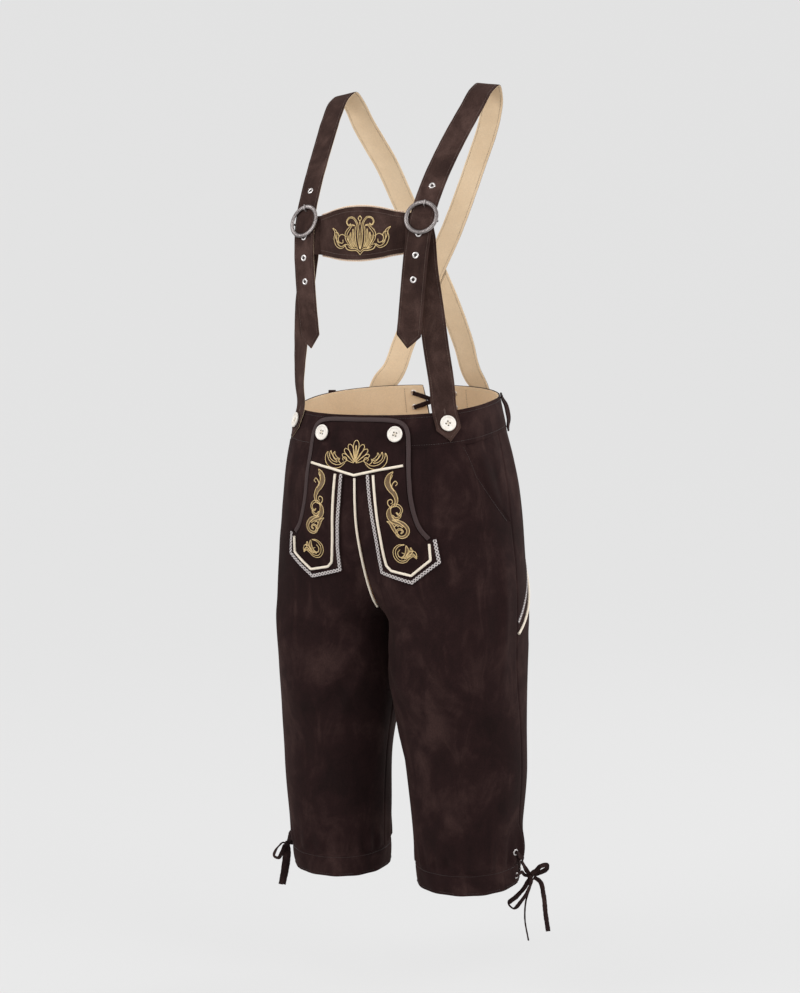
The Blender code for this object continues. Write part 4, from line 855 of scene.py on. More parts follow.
def makePanel(word, side, toward):
    # outside = surface + folds + seam dips, inside = outside less the cloth
    s, b = panelSet, bodySet
    top, bottom = b["waistband"] + b["seamGap"] / 2, b["outseam"] - b["cuff"] - b["seamGap"] / 2
    drop = (top + (bottom - top) * edged(s["rows"], 0.5))[:, None]
    start = sideAngle(drop, toward)
    if toward > 0:
        start = np.maximum(start, slitAngle(drop))
    end = centreAngle(drop, toward)
    angle = start + (end - start) * edged(s["columns"])
    # the folds die out at the centre seam and the inseam, where two panels are sewn together
    sewn = np.exp(-(((end - angle) * girthAt(drop)["half"] / s["sewnWide"]) ** 2))
    height = clothHeight(angle, drop, side) * (1 - sewn)
    base = girthPoint(angle, np.broadcast_to(drop, angle.shape))
    # the pocket opening's turned edge stands up a little where the side seam dips
    rolled = np.where((toward > 0) & (drop < pocketSet["slit"][-1][1]), pocketSet["rise"], 1.0)
    outer = raised(girthPoint, angle, drop, height + seamDips(base, rolled))
    inner = raised(girthPoint, angle, drop, height - b["cloth"])
    name, node = ("frontPanel", "front_panel_") if toward > 0 else ("backPanel", "back_panel_")
    thing = makePiece(name + word, sided(shellPart(outer, inner, (0, 1, 0, 0)), side), (suede, liningLeather),
                      (node + word.lower(),))


def makePocket(word, side):
    # the hip piece under the pocket opening, a little deeper than the panel's edge
    s = pocketSet
    drop = np.linspace(bodySet["waistband"] + bodySet["seamGap"] / 2, s["bottom"], 50)[:, None]
    start = sideAngle(drop, 1)
    end = slitAngle(drop) - s["gap"] / girthAt(drop)["half"]
    share = edged(20, 0.6)
    angle = start + (end - start) * share
    height = clothHeight(angle, drop, side) * (1 - 0.6 * share) - s["inset"] - s["depth"] * share ** 3
    outer = raised(girthPoint, angle, drop, height)
    inner = raised(girthPoint, angle, drop, height - s["thickness"])
    thing = makePiece("hipPiece" + word, sided(shellPart(outer, inner, (0, 1, 0, 0)), side),
                      (suede, liningLeather), ("pocket_facing_" + word.lower(),))
    # the stitches that hold the opening's turned edge
    drop = np.linspace(bodySet["waistband"] + 0.004, s["bottom"] - 0.003, 80)
    angle = slitAngle(drop) + s["stitchInset"] / girthAt(drop)["half"]
    line = raised(girthPoint, angle, drop, clothHeight(angle, drop, side) + 0.0002)
    rows = stitchPart(line, surfaceNormal(girthPoint, angle, drop))
    makePiece("pocketStitches" + word, sided(rows, side), (darkThread,))


def waistGrid(drops, height, columns=220):
    # points round the waist from one edge of the back slit to the other
    drop = np.asarray(drops)[:, None]
    s = waistSet
    gap = s["gapTop"] + (s["gapBottom"] - s["gapTop"]) * drop / bodySet["waistband"]
    at = girthAt(drop)
    edge = np.arcsin(-((1 - (gap / at["half"]) ** at["backSquare"]) ** 0.5))
    share = 2 * edged(columns, 0.5) - 1
    angle = math.pi / 2 + share * (math.pi / 2 - edge)
    return angle, raised(girthPoint, angle, drop, height)


def waistLine(drop, height, count=400):
    # a line round the waistband at one drop, and the way it faces
    angle, line = waistGrid([drop], height, count)
    return line[0], surfaceNormal(girthPoint, angle[0], np.full(count, drop))


def backAngle(x, drop):
    # the angle of the back at this X
    at = girthAt(drop)
    return -np.arccos(np.sign(x) * (np.abs(x) / at["half"]) ** (at["backSquare"] / 2))


def makeWaist():
    # the band and the facing inside it, both open at the centre back, and their stitches
    b, s = bodySet, waistSet
    share = np.linspace(0, 1, 15)
    drops = b["waistband"] * share - b["seamGap"] / 2 * share
    share = share[:, None]
    angle, plain = waistGrid(drops, 0.0)
    puff = s["puff"] * np.sin(math.pi * share) + s["wave"] * np.sin(9 * angle + 5 * share)
    for groove in s["stitches"]:
        puff = puff - s["groove"] * np.exp(-(((drops[:, None] - groove) / s["grooveWide"]) ** 2))
    outer = waistGrid(drops, puff * np.clip(share / 0.03, 0, 1))[1]
    inner = waistGrid(drops, -b["cloth"])[1]
    band = makePiece("waistBand", shellPart(outer, inner, bulge=0.5), (suede,), ("waistband",))
    depth = -b["cloth"] - b["seamGap"]
    outer = waistGrid(drops, depth)[1]
    inner = waistGrid(drops, depth - s["facing"] - 0.0002 * np.sin(31 * angle))[1]
    facing = makePiece("waistFacing", shellPart(outer, inner), (facingLeather,), ("waist_facing",))
    rows = [stitchPart(*waistLine(d, 0.0001)) for d in s["stitches"]]
    makePiece("waistStitches", rows, (darkThread,))
    back = depth - s["facing"] - 0.0001
    for name, drop in zip(("facingStitches", "facingTopStitches"), s["facingStitches"]):
        line, face = waistLine(drop, back)
        makePiece(name, stitchPart(line, -face), (creamThread,))
    # the facing's joins, stitched from edge to edge beside the back opening
    rows = []
    for x in s["joins"]:
        drop = np.linspace(0.0042, 0.0448, 40)
        turn = backAngle(x, drop)
        line = raised(girthPoint, turn, drop, back)
        rows.append(stitchPart(line, -surfaceNormal(girthPoint, turn, drop)))
    makePiece("facingJoins", rows, (tanThread,))


def makeCuff(word, side):
    # the turned hem band, open at the slit, a little puffed between its stitch lines
    b, s = bodySet, cuffSet
    share = np.linspace(0, 1, 16)[:, None]
    hem = b["outseam"] - b["cuff"]
    top = hem + b["seamGap"] / 2
    drop = top + (b["outseam"] - top) * share
    start = sideAngle(drop, 1)
    end = sideAngle(drop, -1) + 2 * math.pi
    angle = start + (end - start) * edged(210, 0.8)
    puff = s["puff"] * np.sin(math.pi * share) + s["wave"] * np.sin(13 * angle + 3 * share + side)
    for groove in s["stitches"]:
        puff = puff - s["groove"] * np.exp(-(((drop - hem - groove) / s["grooveWide"]) ** 2))
    outer = raised(girthPoint, angle, drop, s["lift"] + puff)
    inner = raised(girthPoint, angle, drop, s["lift"] - s["thickness"])
    cuff = makePiece("cuff" + word, sided(shellPart(outer, inner, (0, 1, 0, 0), 0.5), side),
                     (suede, liningLeather), ("cuff_" + word.lower(),))
    rows = []
    for groove in s["stitches"]:
        drop = np.full(500, hem + groove)
        angle = np.linspace(sideAngle(hem + groove, 1), sideAngle(hem + groove, -1) + 2 * math.pi, 500)
        puff = s["puff"] * math.sin(math.pi * (hem + groove - top) / (b["outseam"] - top)) - s["groove"]
        height = s["lift"] + puff + s["wave"] * np.sin(13 * angle + side) + 0.0002
        rows.append(stitchPart(raised(girthPoint, angle, drop, height),
                               surfaceNormal(girthPoint, angle, drop)))
    makePiece("cuffStitches" + word, sided(merged(rows), side), (darkThread,))


def makeLoop(word, side):
    # a band stitched above and below the waistband, standing off between
    s = loopSet
    rows = np.array(s["rows"])
    angle = math.radians(s["angle"])
    thick = s["thickness"] / 2
    centre = raised(girthPoint, angle, rows[:, 0], rows[:, 1] + thick)
    face = unit(centre - raised(girthPoint, angle, rows[:, 0], -0.01))
    table = smoothLine(np.concatenate([centre, face], 1), 60)
    line = table[:, :3]
    across, up = pathFrame(line, table[:, 3:])
    # it twists a little where it stands off
    twist = s["twist"] * np.sin(math.pi * np.linspace(0, 1, 60))[:, None]
    across, up = across * np.cos(twist) - up * np.sin(twist), up * np.cos(twist) + across * np.sin(twist)
    band = sweepPart(line, across, up, bandProfile(s["width"] / 2, thick))
    makePiece("beltLoop" + word, sided(band, side), (suede,), ("belt_loop_" + word.lower(),))
    rows = [stitchPart(line + across * edge + up * thick, up)
            for edge in (-s["stitchReach"], s["stitchReach"])]
    for place in s["barPlaces"]:
        reach = np.linspace(-s["barReach"], s["barReach"], 12)[:, None]
        bar = line[place] + up[place] * thick + across[place] * reach
        rows.append(stitchPart(bar, np.tile(up[place], (12, 1)), pitch=0.0011, length=0.0022))
    makePiece("loopStitches" + word, sided(merged(rows), side), (darkThread,))


def bandProfile(half, thick):
    # a flat band's section with rounded edges
    turn = np.linspace(-math.pi / 2, math.pi / 2, 5)
    right = np.stack([half - thick + thick * np.cos(turn), thick * np.sin(turn)], 1)
    across = np.linspace(half - thick, thick - half, 5)[1:-1]
    top = np.stack([across, thick + 0 * across], 1)
    return np.concatenate([right, top, right[::-1] * (-1, 1), top[::-1] * (1, -1)])


for side, word in bothSides:
    makePanel(word, side, 1)
    makePanel(word, side, -1)
    makePocket(word, side)
    makeCuff(word, side)
    makeLoop(word, side)
makeWaist()
print("trousers made")

# the fall front: bib with two pointed legs, its binding, piping and braid
flapSet = {
    "thickness": 0.0014,
    "lift": 0.0008,
    "flare": 0.004,
    "bow": 0.0010,
    "length": 0.260,
    "flareX": 0.0845,
    "edge": ((0, 0.0025), (0.03, 0.0025), (0.055, 0.004), (0.069, 0.0075), (0.079, 0.015), (0.0845, 0.0265),
             (0.087, 0.042), (0.089, 0.064), (0.092, 0.094), (0.0945, 0.121), (0.1, 0.148), (0.1085, 0.1715),
             (0.119, 0.186)),
    "shoulder": ((0.1128, 0.1934), (0.12, 0.19), (0.1272, 0.1868), (0.1306, 0.205), (0.133, 0.223)),
    "leg": ((0, 0.0935), (0.0205, 0.0915), (0.0238, 0.13), (0.0288, 0.17), (0.0323, 0.205), (0.0342, 0.2486),
            (0.0872, 0.2626), (0.1332, 0.2277)),
    "binding": 0.007,
    "bindingThickness": 0.0022,
    "bindingGap": 0.0012,
    "seamInset": 0.0021,
    "inside": (0, 0, -0.14),
    "cut": (0.290, 0.275),
    "turnedEdges": 0.008,
    "cell": 0.0014,
}
pipingSet = {
    "radius": 0.0020,
    "yoke": ((0, 0.09), (0.04, 0.0812), (0.079, 0.0745)),
    "leg": ((0.033, 0.089), (0.0355, 0.1155), (0.0395, 0.161), (0.0435, 0.2005), (0.0462, 0.22),
            (0.0485, 0.2325),
            (0.056, 0.2405), (0.088, 0.2475), (0.1185, 0.222), (0.1172, 0.1965)),
    "braid": ((0.0231, 0.0890), (0.027, 0.13), (0.032, 0.17), (0.0355, 0.205), (0.0375, 0.2455),
              (0.0875, 0.259), (0.13, 0.2255), (0.1245, 0.19)),
    "middle": (0.0942, 0.13, 0.17, 0.21, 0.245, 0.275, 0.30, 0.313),
    "seatBraid": ((1, 0.339), (25, 0.288), (50, 0.226), (68, 0.157), (77, 0.1), (80, 0.053)),
    "seatPiping": ((1, 0.357), (11, 0.343), (25, 0.318), (50, 0.252), (71, 0.166), (81, 0.1), (84, 0.053)),
    "degree": 0.003,  # metres to a degree of the seat's girth
}


def flapLift(x, drop):
    # the underside's height: a small bow, and top corners that stand off
    s = flapSet
    corner = np.clip(1 - drop / bodySet["waistband"], 0, 1) ** 1.5
    bow = s["bow"] * np.sin(math.pi * np.clip(drop / s["length"], 0, 1))
    return s["lift"] + bow + s["flare"] * np.clip(np.abs(x) / s["flareX"], 0, 1) ** 4 * corner


def flapFace(x, drop):
    # height of the flap's face with its slow waves, where trim and thread lie
    wave = 0.0004 * np.sin(x * 61 + 1.2) * np.sin(drop * 43 + 0.4) + 0.0003 * np.sin(x * 113 - drop * 71)
    return flapLift(x, drop) + flapSet["thickness"] + wave


def onFlap(path, height=0.0):
    # a path of X and drop laid on the flap's face, and the way that it faces
    path = np.asarray(path, float)
    face = surfaceNormal(frontPoint, path[:, 0], path[:, 1])
    return raised(frontPoint, path[:, 0], path[:, 1], flapFace(path[:, 0], path[:, 1]) + height), face


def asPath(points):
    # points on the front as X and drop
    tilt = girthAt(np.clip(-points[:, 2], 0, bodySet["outseam"]))["tilt"]
    return np.stack([points[:, 0], tilt * points[:, 1] - points[:, 2]], 1)


def edgeInset(inset, count=150):
    # the flap's outer edge moved in, as X and drop
    edge = smoothLine(np.array(flapSet["edge"]), count)
    onEdge = frontPoint(edge[:, 0], edge[:, 1])
    normal = surfaceNormal(frontPoint, edge[:, 0], edge[:, 1])
    inward = unit(np.cross(np.gradient(onEdge, axis=0), normal))
    toward = -0.6 * inward[:, 0] - inward[:, 2]
    return asPath(onEdge + inward * np.sign(toward)[:, None] * inset)


def bothHalves(grid):
    # the left half of a grid of columns, with its mirror image before it
    return np.concatenate([grid[:, :0:-1] * flips[-1], grid], 1)


def mirroredLine(line):
    # the left half of a line, with its mirror image before it
    return np.concatenate([line[:0:-1] * flips[-1], line])


def makeFlap():
    # its columns follow the leg's and the shoulder's knots, so the points stay sharp
    s = flapSet
    shoulder, leg = np.array(s["shoulder"]), np.array(s["leg"])
    top = edgeInset(s["binding"] + s["bindingGap"], 240)
    top[0, 0] = 0.0
    top = np.concatenate([top[top[:, 0] < shoulder[0, 0] - 0.001], shoulder])
    knots = np.concatenate([leg[:, 0], shoulder[:, 0]])
    x = np.unique(np.concatenate([np.arange(0, leg[-1, 0], s["cell"]), knots]).round(6))
    apart = np.concatenate([[True], np.diff(x) > 0.0003])
    x = x[apart | np.isin(x, knots.round(6))]
    x = x[x <= shoulder[-1, 0]]
    upper, lower = np.interp(x, top[:, 0], top[:, 1]), np.interp(x, leg[:, 0], leg[:, 1])
    drop = upper + (lower - upper) * edged(70, 0.4)[:, None]
    x = np.broadcast_to(x, drop.shape)
    low = raised(frontPoint, x, drop, flapLift(x, drop))
    high = raised(frontPoint, x, drop, flapFace(x, drop))
    thing = makePiece("fallFront", shellPart(bothHalves(high), bothHalves(low)), (suede,),
                      ("front_flap",))


def puffProfile(width, height, count=14, power=2.6):
    # a cushion-like section: a superellipse
    turn = turnsOf(count)
    x, y = (np.sign(part) * np.abs(part) ** (2 / power) for part in (np.cos(turn), np.sin(turn)))
    return np.stack([width / 2 * x, height / 2 * y], 1)


def makeBinding():
    # smooth leather folded over the flap's edge, stitched along its inner side
    s = flapSet
    half = edgeInset(s["binding"] / 2, 200)
    half[0, 0] = 0.0
    half = evenly(half, 0.0016)
    height = flapLift(half[:, 0], half[:, 1]) + s["bindingThickness"] / 2
    line = mirroredLine(raised(frontPoint, half[:, 0], half[:, 1], height))
    across, up = pathFrame(line, mirroredLine(surfaceNormal(frontPoint, half[:, 0], half[:, 1])))
    run = runOf(line)
    wide = 1 + 0.02 * np.sin(run * 210) + 0.015 * np.sin(run * 87 + 1)
    tall = 1 + 0.05 * np.sin(run * 170 + 2) + 0.04 * np.sin(run * 411)
    fold = np.clip(np.minimum(run, run[-1] - run) / 0.004, 0.55, 1)
    band = sweepPart(line, across, up, puffProfile(s["binding"], s["bindingThickness"]), wide, tall * fold)
    makePiece("flapBinding", band, (bindingLeather,), ("flap_binding",))
    inward = np.where((across * (s["inside"] - line)).sum(1) > 0, 1, -1)[:, None]
    seam = line + across * inward * s["seamInset"] + up * (s["bindingThickness"] / 2 * 0.86)
    makePiece("bindingStitches", stitchPart(seam, up, scale=0.85), (darkThread,))


def subdivided(points, spacing):
    # the same line with its corners kept and no points further apart
    points = np.asarray(points, float)
    made = [points[:1]]
    for start, end in zip(points[:-1], points[1:]):
        count = max(1, int(np.ceil(np.linalg.norm(end - start) / spacing)))
        made.append(start + (end - start) * (np.arange(1, count + 1) / count)[:, None])
    return np.concatenate(made)


def cornered(path, radius, spacing):
    # a line of X and drop with its corners a little rounded, evenly spaced
    fine = subdivided(path, spacing / 3)
    reach = max(1, int(radius / (spacing / 3)))
    kernel = np.hanning(2 * reach + 3)[1:-1]
    kernel /= kernel.sum()
    padded = np.concatenate([np.repeat(fine[:1], reach, 0), fine, np.repeat(fine[-1:], reach, 0)])
    smooth = np.stack([np.convolve(padded[:, i], kernel, "valid") for i in range(2)], 1)
    smooth[0], smooth[-1] = fine[0], fine[-1]
    return evenly(smooth, spacing)


def cordPart(line, face, radius):
    # leather rolled round a cord: a round section that swells a little between the stitches
    run = runOf(line)
    size = 1 + 0.03 * np.sin(run * 2 * math.pi / 0.0031) + 0.024 * np.sin(run * 371 + 1)
    return sweepPart(line, *pathFrame(line, face), roundProfile(10, radius, radius), size, size)


def makePiping():
    # the yoke's V, each leg's line and the line down the middle seam
    s = pipingSet
    radius = s["radius"]
    line, face = map(mirroredLine, onFlap(cornered(s["yoke"], 0.002, 0.0008), radius * 0.75))
    makePiece("yokePiping", cordPart(line, face, radius), (pipingLeather,), ("flap_piping",))
    for side, word in bothSides:
        line, face = onFlap(cornered(s["leg"], 0.0022, 0.0008), radius * 0.75)
        makePiece("legPiping" + word, sided(cordPart(line, face, radius), side), (pipingLeather,),
                  ("tab_piping_" + word.lower(),))
    drop = np.array(s["middle"])
    edge = bodySet["seamGap"] / 2 + 0 * drop
    normal = surfaceNormal(frontPoint, edge + 1e-5, drop)
    out = (radius + 0.0001) / np.maximum(-normal[:, 1], 0.3)
    here = frontPoint(edge, drop)
    line = smoothLine(here - np.stack([here[:, 0], out, 0 * out], 1), 260)
    face = np.tile((0.0, -1.0, 0.05), (len(line), 1))
    makePiece("middlePiping", cordPart(line, face, radius * 0.92), (pipingLeather,),
              ("centre_piping",))


def braidPart(line, face, width, thickness):
    # woven strip: strands cross, so the face rises and falls as the larger of two slanting waves
    across, up = pathFrame(line, face)
    run = runOf(line)
    share = np.linspace(-1, 1, 15)
    turns = 2 * math.pi / braidSet["pitch"]
    edge = width / 2 * (1 + 0.05 * np.sin(run * turns))
    u, v = run[:, None], share * width / 2
    weave = np.maximum(np.sin((u + v) * turns), np.sin((u - v) * turns))
    height = thickness * (1 - 0.45 * share ** 4) + braidSet["relief"] * weave
    flat = across[:, None] * (share * edge[:, None])[..., None]
    top = line[:, None] + flat + up[:, None] * height[..., None]
    part = shellPart(top, line[:, None] + flat * 0.98)
    # the map follows the strands on both layers; the rim has none
    place = np.stack(np.broadcast_arrays(u, v[None]), -1).reshape(-1, 2)
    part["uv"] = place[np.where(part["faces"] < 2 * len(place), part["faces"] % len(place), 0)]
    return part


def makeBraid():
    # a strip of braid outside each leg's piping, with mitred corners
    for side, word in bothSides:
        line, face = onFlap(cornered(pipingSet["braid"], 0.0012, 0.0005), 0.0)
        part = braidPart(line, face, braidSet["width"], braidSet["thickness"])
        makePiece("legBraid" + word, sided(part, side), (braidThread,),
                  ("tab_braid_" + word.lower(),))


def seatLine(rows, side, lift):
    # the seat arc, laid over the folds of the cloth
    scale = np.array([pipingSet["degree"], 1.0])
    fine = smoothLine(np.array(rows, float) * scale, 500) / scale
    angle, drop = -np.radians(fine[:, 0]), fine[:, 1]
    height = clothHeight(angle, drop, side) + lift
    return raised(girthPoint, angle, drop, height), surfaceNormal(girthPoint, angle, drop)


def makeSeatTrim():
    # an arc of braid and one of piping below it on each side of the seat
    s = pipingSet
    for side, word in bothSides:
        line, face = seatLine(s["seatBraid"], side, 0.0001)
        part = braidPart(line, face, braidSet["width"], braidSet["thickness"] + 0.0001)
        makePiece("seatBraid" + word, sided(part, side), (braidThread,),
                  ("seat_braid_" + word.lower(),))
        line, face = seatLine(s["seatPiping"], side, s["radius"] * 0.8)
        makePiece("seatPiping" + word, sided(cordPart(line, face, s["radius"]), side), (pipingLeather,),
                  ("seat_piping_" + word.lower(),))


makeFlap()
makeBinding()
makePiping()
makeBraid()
makeSeatTrim()
print("fall front and trims made")

# the braces: straps with eyelets, lower straps, buckles, buttons and the chest panel
strapSet = {
    "width": 0.038,
    "thickness": 0.0026,
    "point": 0.019,
    "tip": 0.0004,
    "stitchInset": 0.0034,
    "groove": 0.00022,
    "grooveWide": 0.0011,
    "ripple": 0.00016,
    "rows": (
        (.0840, -.1270, .080, .17, -.98, 0), (.0895, -.1275, .130, .17, -.98, 0),
        (.0940, -.1270, .180, .17, -.98, .02), (.0975, -.1250, .222, .17, -.96, .15),
        (.1016, -.1148, .272, .17, -.93, .33), (.1065, -.0880, .325, .17, -.88, .45),
        (.1115, -.0600, .366, .17, -.80, .55), (.1170, -.0310, .404, .17, -.75, .62),
        (.1235, .0010, .443, .16, -.66, .74), (.1265, .0290, .4725, .14, -.40, .90),
        (.1265, .0540, .4830, .12, .25, .96), (.1230, .0715, .4670, .14, .75, .60),
        (.1150, .0825, .4410, .17, .92, .30), (.1010, .0930, .4110, .19, .96, .18),
        (.0845, .1010, .3800, .18, .97, .12), (.0570, .1080, .3200, .13, .98, .06),
        (.0330, .1115, .268, .07, .99, .03), (.0030, .1120, .210, 0, 1, .02),
        (-.0270, .1120, .150, -.05, 1, 0), (-.0555, .1095, .085, -.14, .98, 0),
        (-.0730, .1045, .040, -.28, .95, 0),
    ),
    "buckleRow": 4,
    "crossing": (0.0018, 0.210, 0.080),  # how far apart, at what height and over what reach
    "waistPoints": ((-.0870, -.004), (-.0955, .014), (-.1045, .034)),
    "waistLift": 0.0008,
    "cut": 0.050,
    "spare": 0.012,
    "hold": -0.017,
}
lowerStrapSet = {
    "thickness": 0.0018,
    "rows": (
        (.0995, -.1060, .240, .17, -.98, .05), (.1030, -.1065, .200, .21, -.97, 0),
        (.1120, -.1060, .140, .34, -.94, 0), (.1190, -.1020, .080, .48, -.88, 0),
        (.1250, -.0965, .030, .60, -.80, 0),
    ),
    "waistPoints": ((42.0, .003), (41.0, .017), (40.0, .043)),
    "waistLift": 0.0007,
    "foldDown": 0.005,
    "foldFront": 0.006,
    "hold": -0.019,
}
buckleSet = {
    "radius": 0.0235,
    "band": 0.0060,
    "depth": 0.0030,
    "bar": 0.0015,
    "engraving": 0.00022,
    "teeth": 66,
    "prong": 0.0011,
    "prongPlay": 0.0005,
}
eyeletSet = {
    "hole": 0.0024,
    "outer": 0.0050,
    "rise": 0.0007,
    # half the thickness of the dark disc painted in each bore as shade
    "disc": 0.0002,
    "places": (0.0540, 0.0170, -0.0245, -0.0565, -0.0925),
    "prongHole": 1,  # it has no ring and closes round the prong
    "lip": 0.0006,
    "wear": 0.95,
}
buttonSet = {
    "radius": 0.0120,
    "thickness": 0.0038,
    "dish": 0.0010,
    "inset": 0.027,
    "wellPlace": 0.0030,
    "wellRadius": 0.0012,
    "wellDepth": 0.0016,
    "backLift": 0.0013,
    "flapPlace": (0.0630, 0.0280),
    "flapTwist": 0.7,
    "thread": (0.00034, 0.00028),
}
turnStart = (0.13, 0.21, 0.97)  # a turned form's first point lies square to this and to its facing


def flatBand(line, face, width, thickness, points, across=31, holes=(), finishes=(0, 1, 0, 1)):
    # a band with softly rounded edges; cells inside a hole are left out of both layers and rimmed
    side, up = pathFrame(line, face)
    run = runOf(line)
    half = np.full(len(run), width / 2)
    for pointed, away in zip(points, (run, run[-1] - run)):
        if pointed:
            half = np.minimum(half, width / 2 * (away + strapSet["tip"]) / strapSet["point"])
    share = np.sin(np.linspace(-math.pi / 2, math.pi / 2, across) * 0.96) / math.sin(math.pi / 2 * 0.96)
    flat = line[:, None] + side[:, None] * (share * half[:, None])[..., None]
    soft = thickness / 2 * (1 - 0.35 * np.abs(share) ** 14)
    inset = np.abs(share * half[:, None]) - half[:, None] + strapSet["stitchInset"]
    groove = strapSet["groove"] * np.exp(-((inset / strapSet["grooveWide"]) ** 2))
    ripple = strapSet["ripple"] * np.sin(run * 190)[:, None] * np.sin(share * 3 + run[:, None] * 37)
    top = flat + up[:, None] * (soft - groove + ripple)[..., None]
    low = flat - up[:, None] * (soft - groove - ripple)[..., None]
    part = shellPart(top, low, finishes, 0.2)
    if holes:
        middle = (flat[:-1, :-1] + flat[1:, 1:] + flat[:-1, 1:] + flat[1:, :-1]) / 4
        inside = np.zeros(middle.shape[:2], bool)
        for place, radius in holes:
            inside |= np.linalg.norm(middle - place, axis=2) < radius
        index = np.arange(len(run) * across).reshape(len(run), across)
        rest = np.zeros(len(part["faces"]) - 2 * inside.size, bool)
        keep = ~np.concatenate([inside.ravel(), inside.ravel(), rest])
        rims = []
        for axis in (0, 1):
            change = np.diff(inside.astype(int), axis=axis)
            r, c = np.nonzero(change)
            ends = ((index[r + 1, c], index[r + 1, c + 1]) if axis == 0
                    else (index[r + 1, c + 1], index[r, c + 1]))
            quad = np.stack([*ends, ends[1] + index.size, ends[0] + index.size], 1)
            rims.append(np.where((change[r, c] > 0)[:, None], quad, quad[:, ::-1]))
        rims = np.concatenate(rims)
        part["faces"] = np.concatenate([part["faces"][keep], rims])
        part["uv"] = np.concatenate([part["uv"][keep], np.zeros((len(rims), 4, 2))])
        part["finish"] = np.concatenate([part["finish"][keep], np.full(len(rims), finishes[2])])
    return part, side, up


def strapTable(side):
    # the strap's rows on its own side, with the crossing straps parted front to back
    s = strapSet
    rows = np.array(s["rows"])
    apart, height, reach = s["crossing"]
    rows[:, 1] += (rows[:, 1] > 0) * np.exp(-(((rows[:, 2] - height) / reach) ** 2)) * apart * (-side)
    ends = [waistRow(backAngle(-x, drop), drop, s["thickness"] / 2 + s["waistLift"]) for x,
            drop in s["waistPoints"]]
    return np.concatenate([rows, np.array(ends) * np.tile(flips[-1], 2)])


def waistRow(angle, drop, height):
    # a row of place and facing on the waistband's outside
    place, below = (raised(girthPoint, angle, drop, out) for out in (height, height - 0.001))
    return np.concatenate([place, unit(place - below)])


def atRun(centre, face, distance):
    # place, facing and upward direction at a distance along a band
    run = runOf(centre)
    place = readAt(distance, run, centre)
    up = unit(readAt(distance + 0.004, run, centre) - place)
    facing = unit(readAt(distance, run, face))
    return place, unit(facing - facing.dot(up) * up), up


def turnedFrame(facing):
    side = unit(np.cross(unit(facing), turnStart))
    return side, np.cross(unit(facing), side)


def turnedPart(profile, place, facing, count=48, relief=None, finish=0):
    # a closed profile of radius and height turned about the way that it faces
    side, over = turnedFrame(facing)
    turn = turnsOf(count)
    radius, height = np.broadcast_to(profile[:, :1], (len(profile), count)), profile[:, 1:]
    height = height + (relief(radius, turn) if relief else 0 * turn)
    around = side * np.cos(turn)[:, None] + over * np.sin(turn)[:, None]
    points = place + around[None] * radius[..., None] + unit(facing) * height[..., None]
    return outwardTurned(gridPart(points, True, finish))


def makeEyelet(name, places):
    # a rolled metal ring through the leather: its profile runs over the front, down the bore and behind
    s = eyeletSet
    turn = np.linspace(0, math.pi, 9)
    middle, reach = (s["outer"] + s["hole"]) / 2, (s["outer"] - s["hole"]) / 2
    bore, disc = s["hole"] + s["lip"], s["hole"] + 0.0004
    parts = []
    for place, facing, thick in places:
        front = np.stack([middle + reach * np.cos(turn), thick / 2 + s["rise"] * np.sin(turn)], 1)
        back = np.stack([middle - reach * np.cos(turn), -thick / 2 - s["rise"] * np.sin(turn)], 1)
        edge = thick / 2 - 0.0002
        lip = [(s["outer"], -edge), (bore, -edge), (bore, edge), (s["outer"], edge)]
        parts.append(turnedPart(np.concatenate([front, back, lip, front[:1]]), place, facing, 32))
        # the bore is painted dark: a thin disc in the dark thread's finish halfway down stands in for the shade
        # inside the hole
        profile = [(0.0001, s["disc"]), (disc, s["disc"]), (disc, -s["disc"]), (0.0001, -s["disc"]),
                   (0.0001, s["disc"])]
        parts.append(turnedPart(np.array(profile), place, facing, 32, finish=1))
    made = merged(parts)
    makePiece(name, made, (rubbedSilver, darkThread), wear=np.full(len(made["points"]),
                                                                                     s["wear"]))


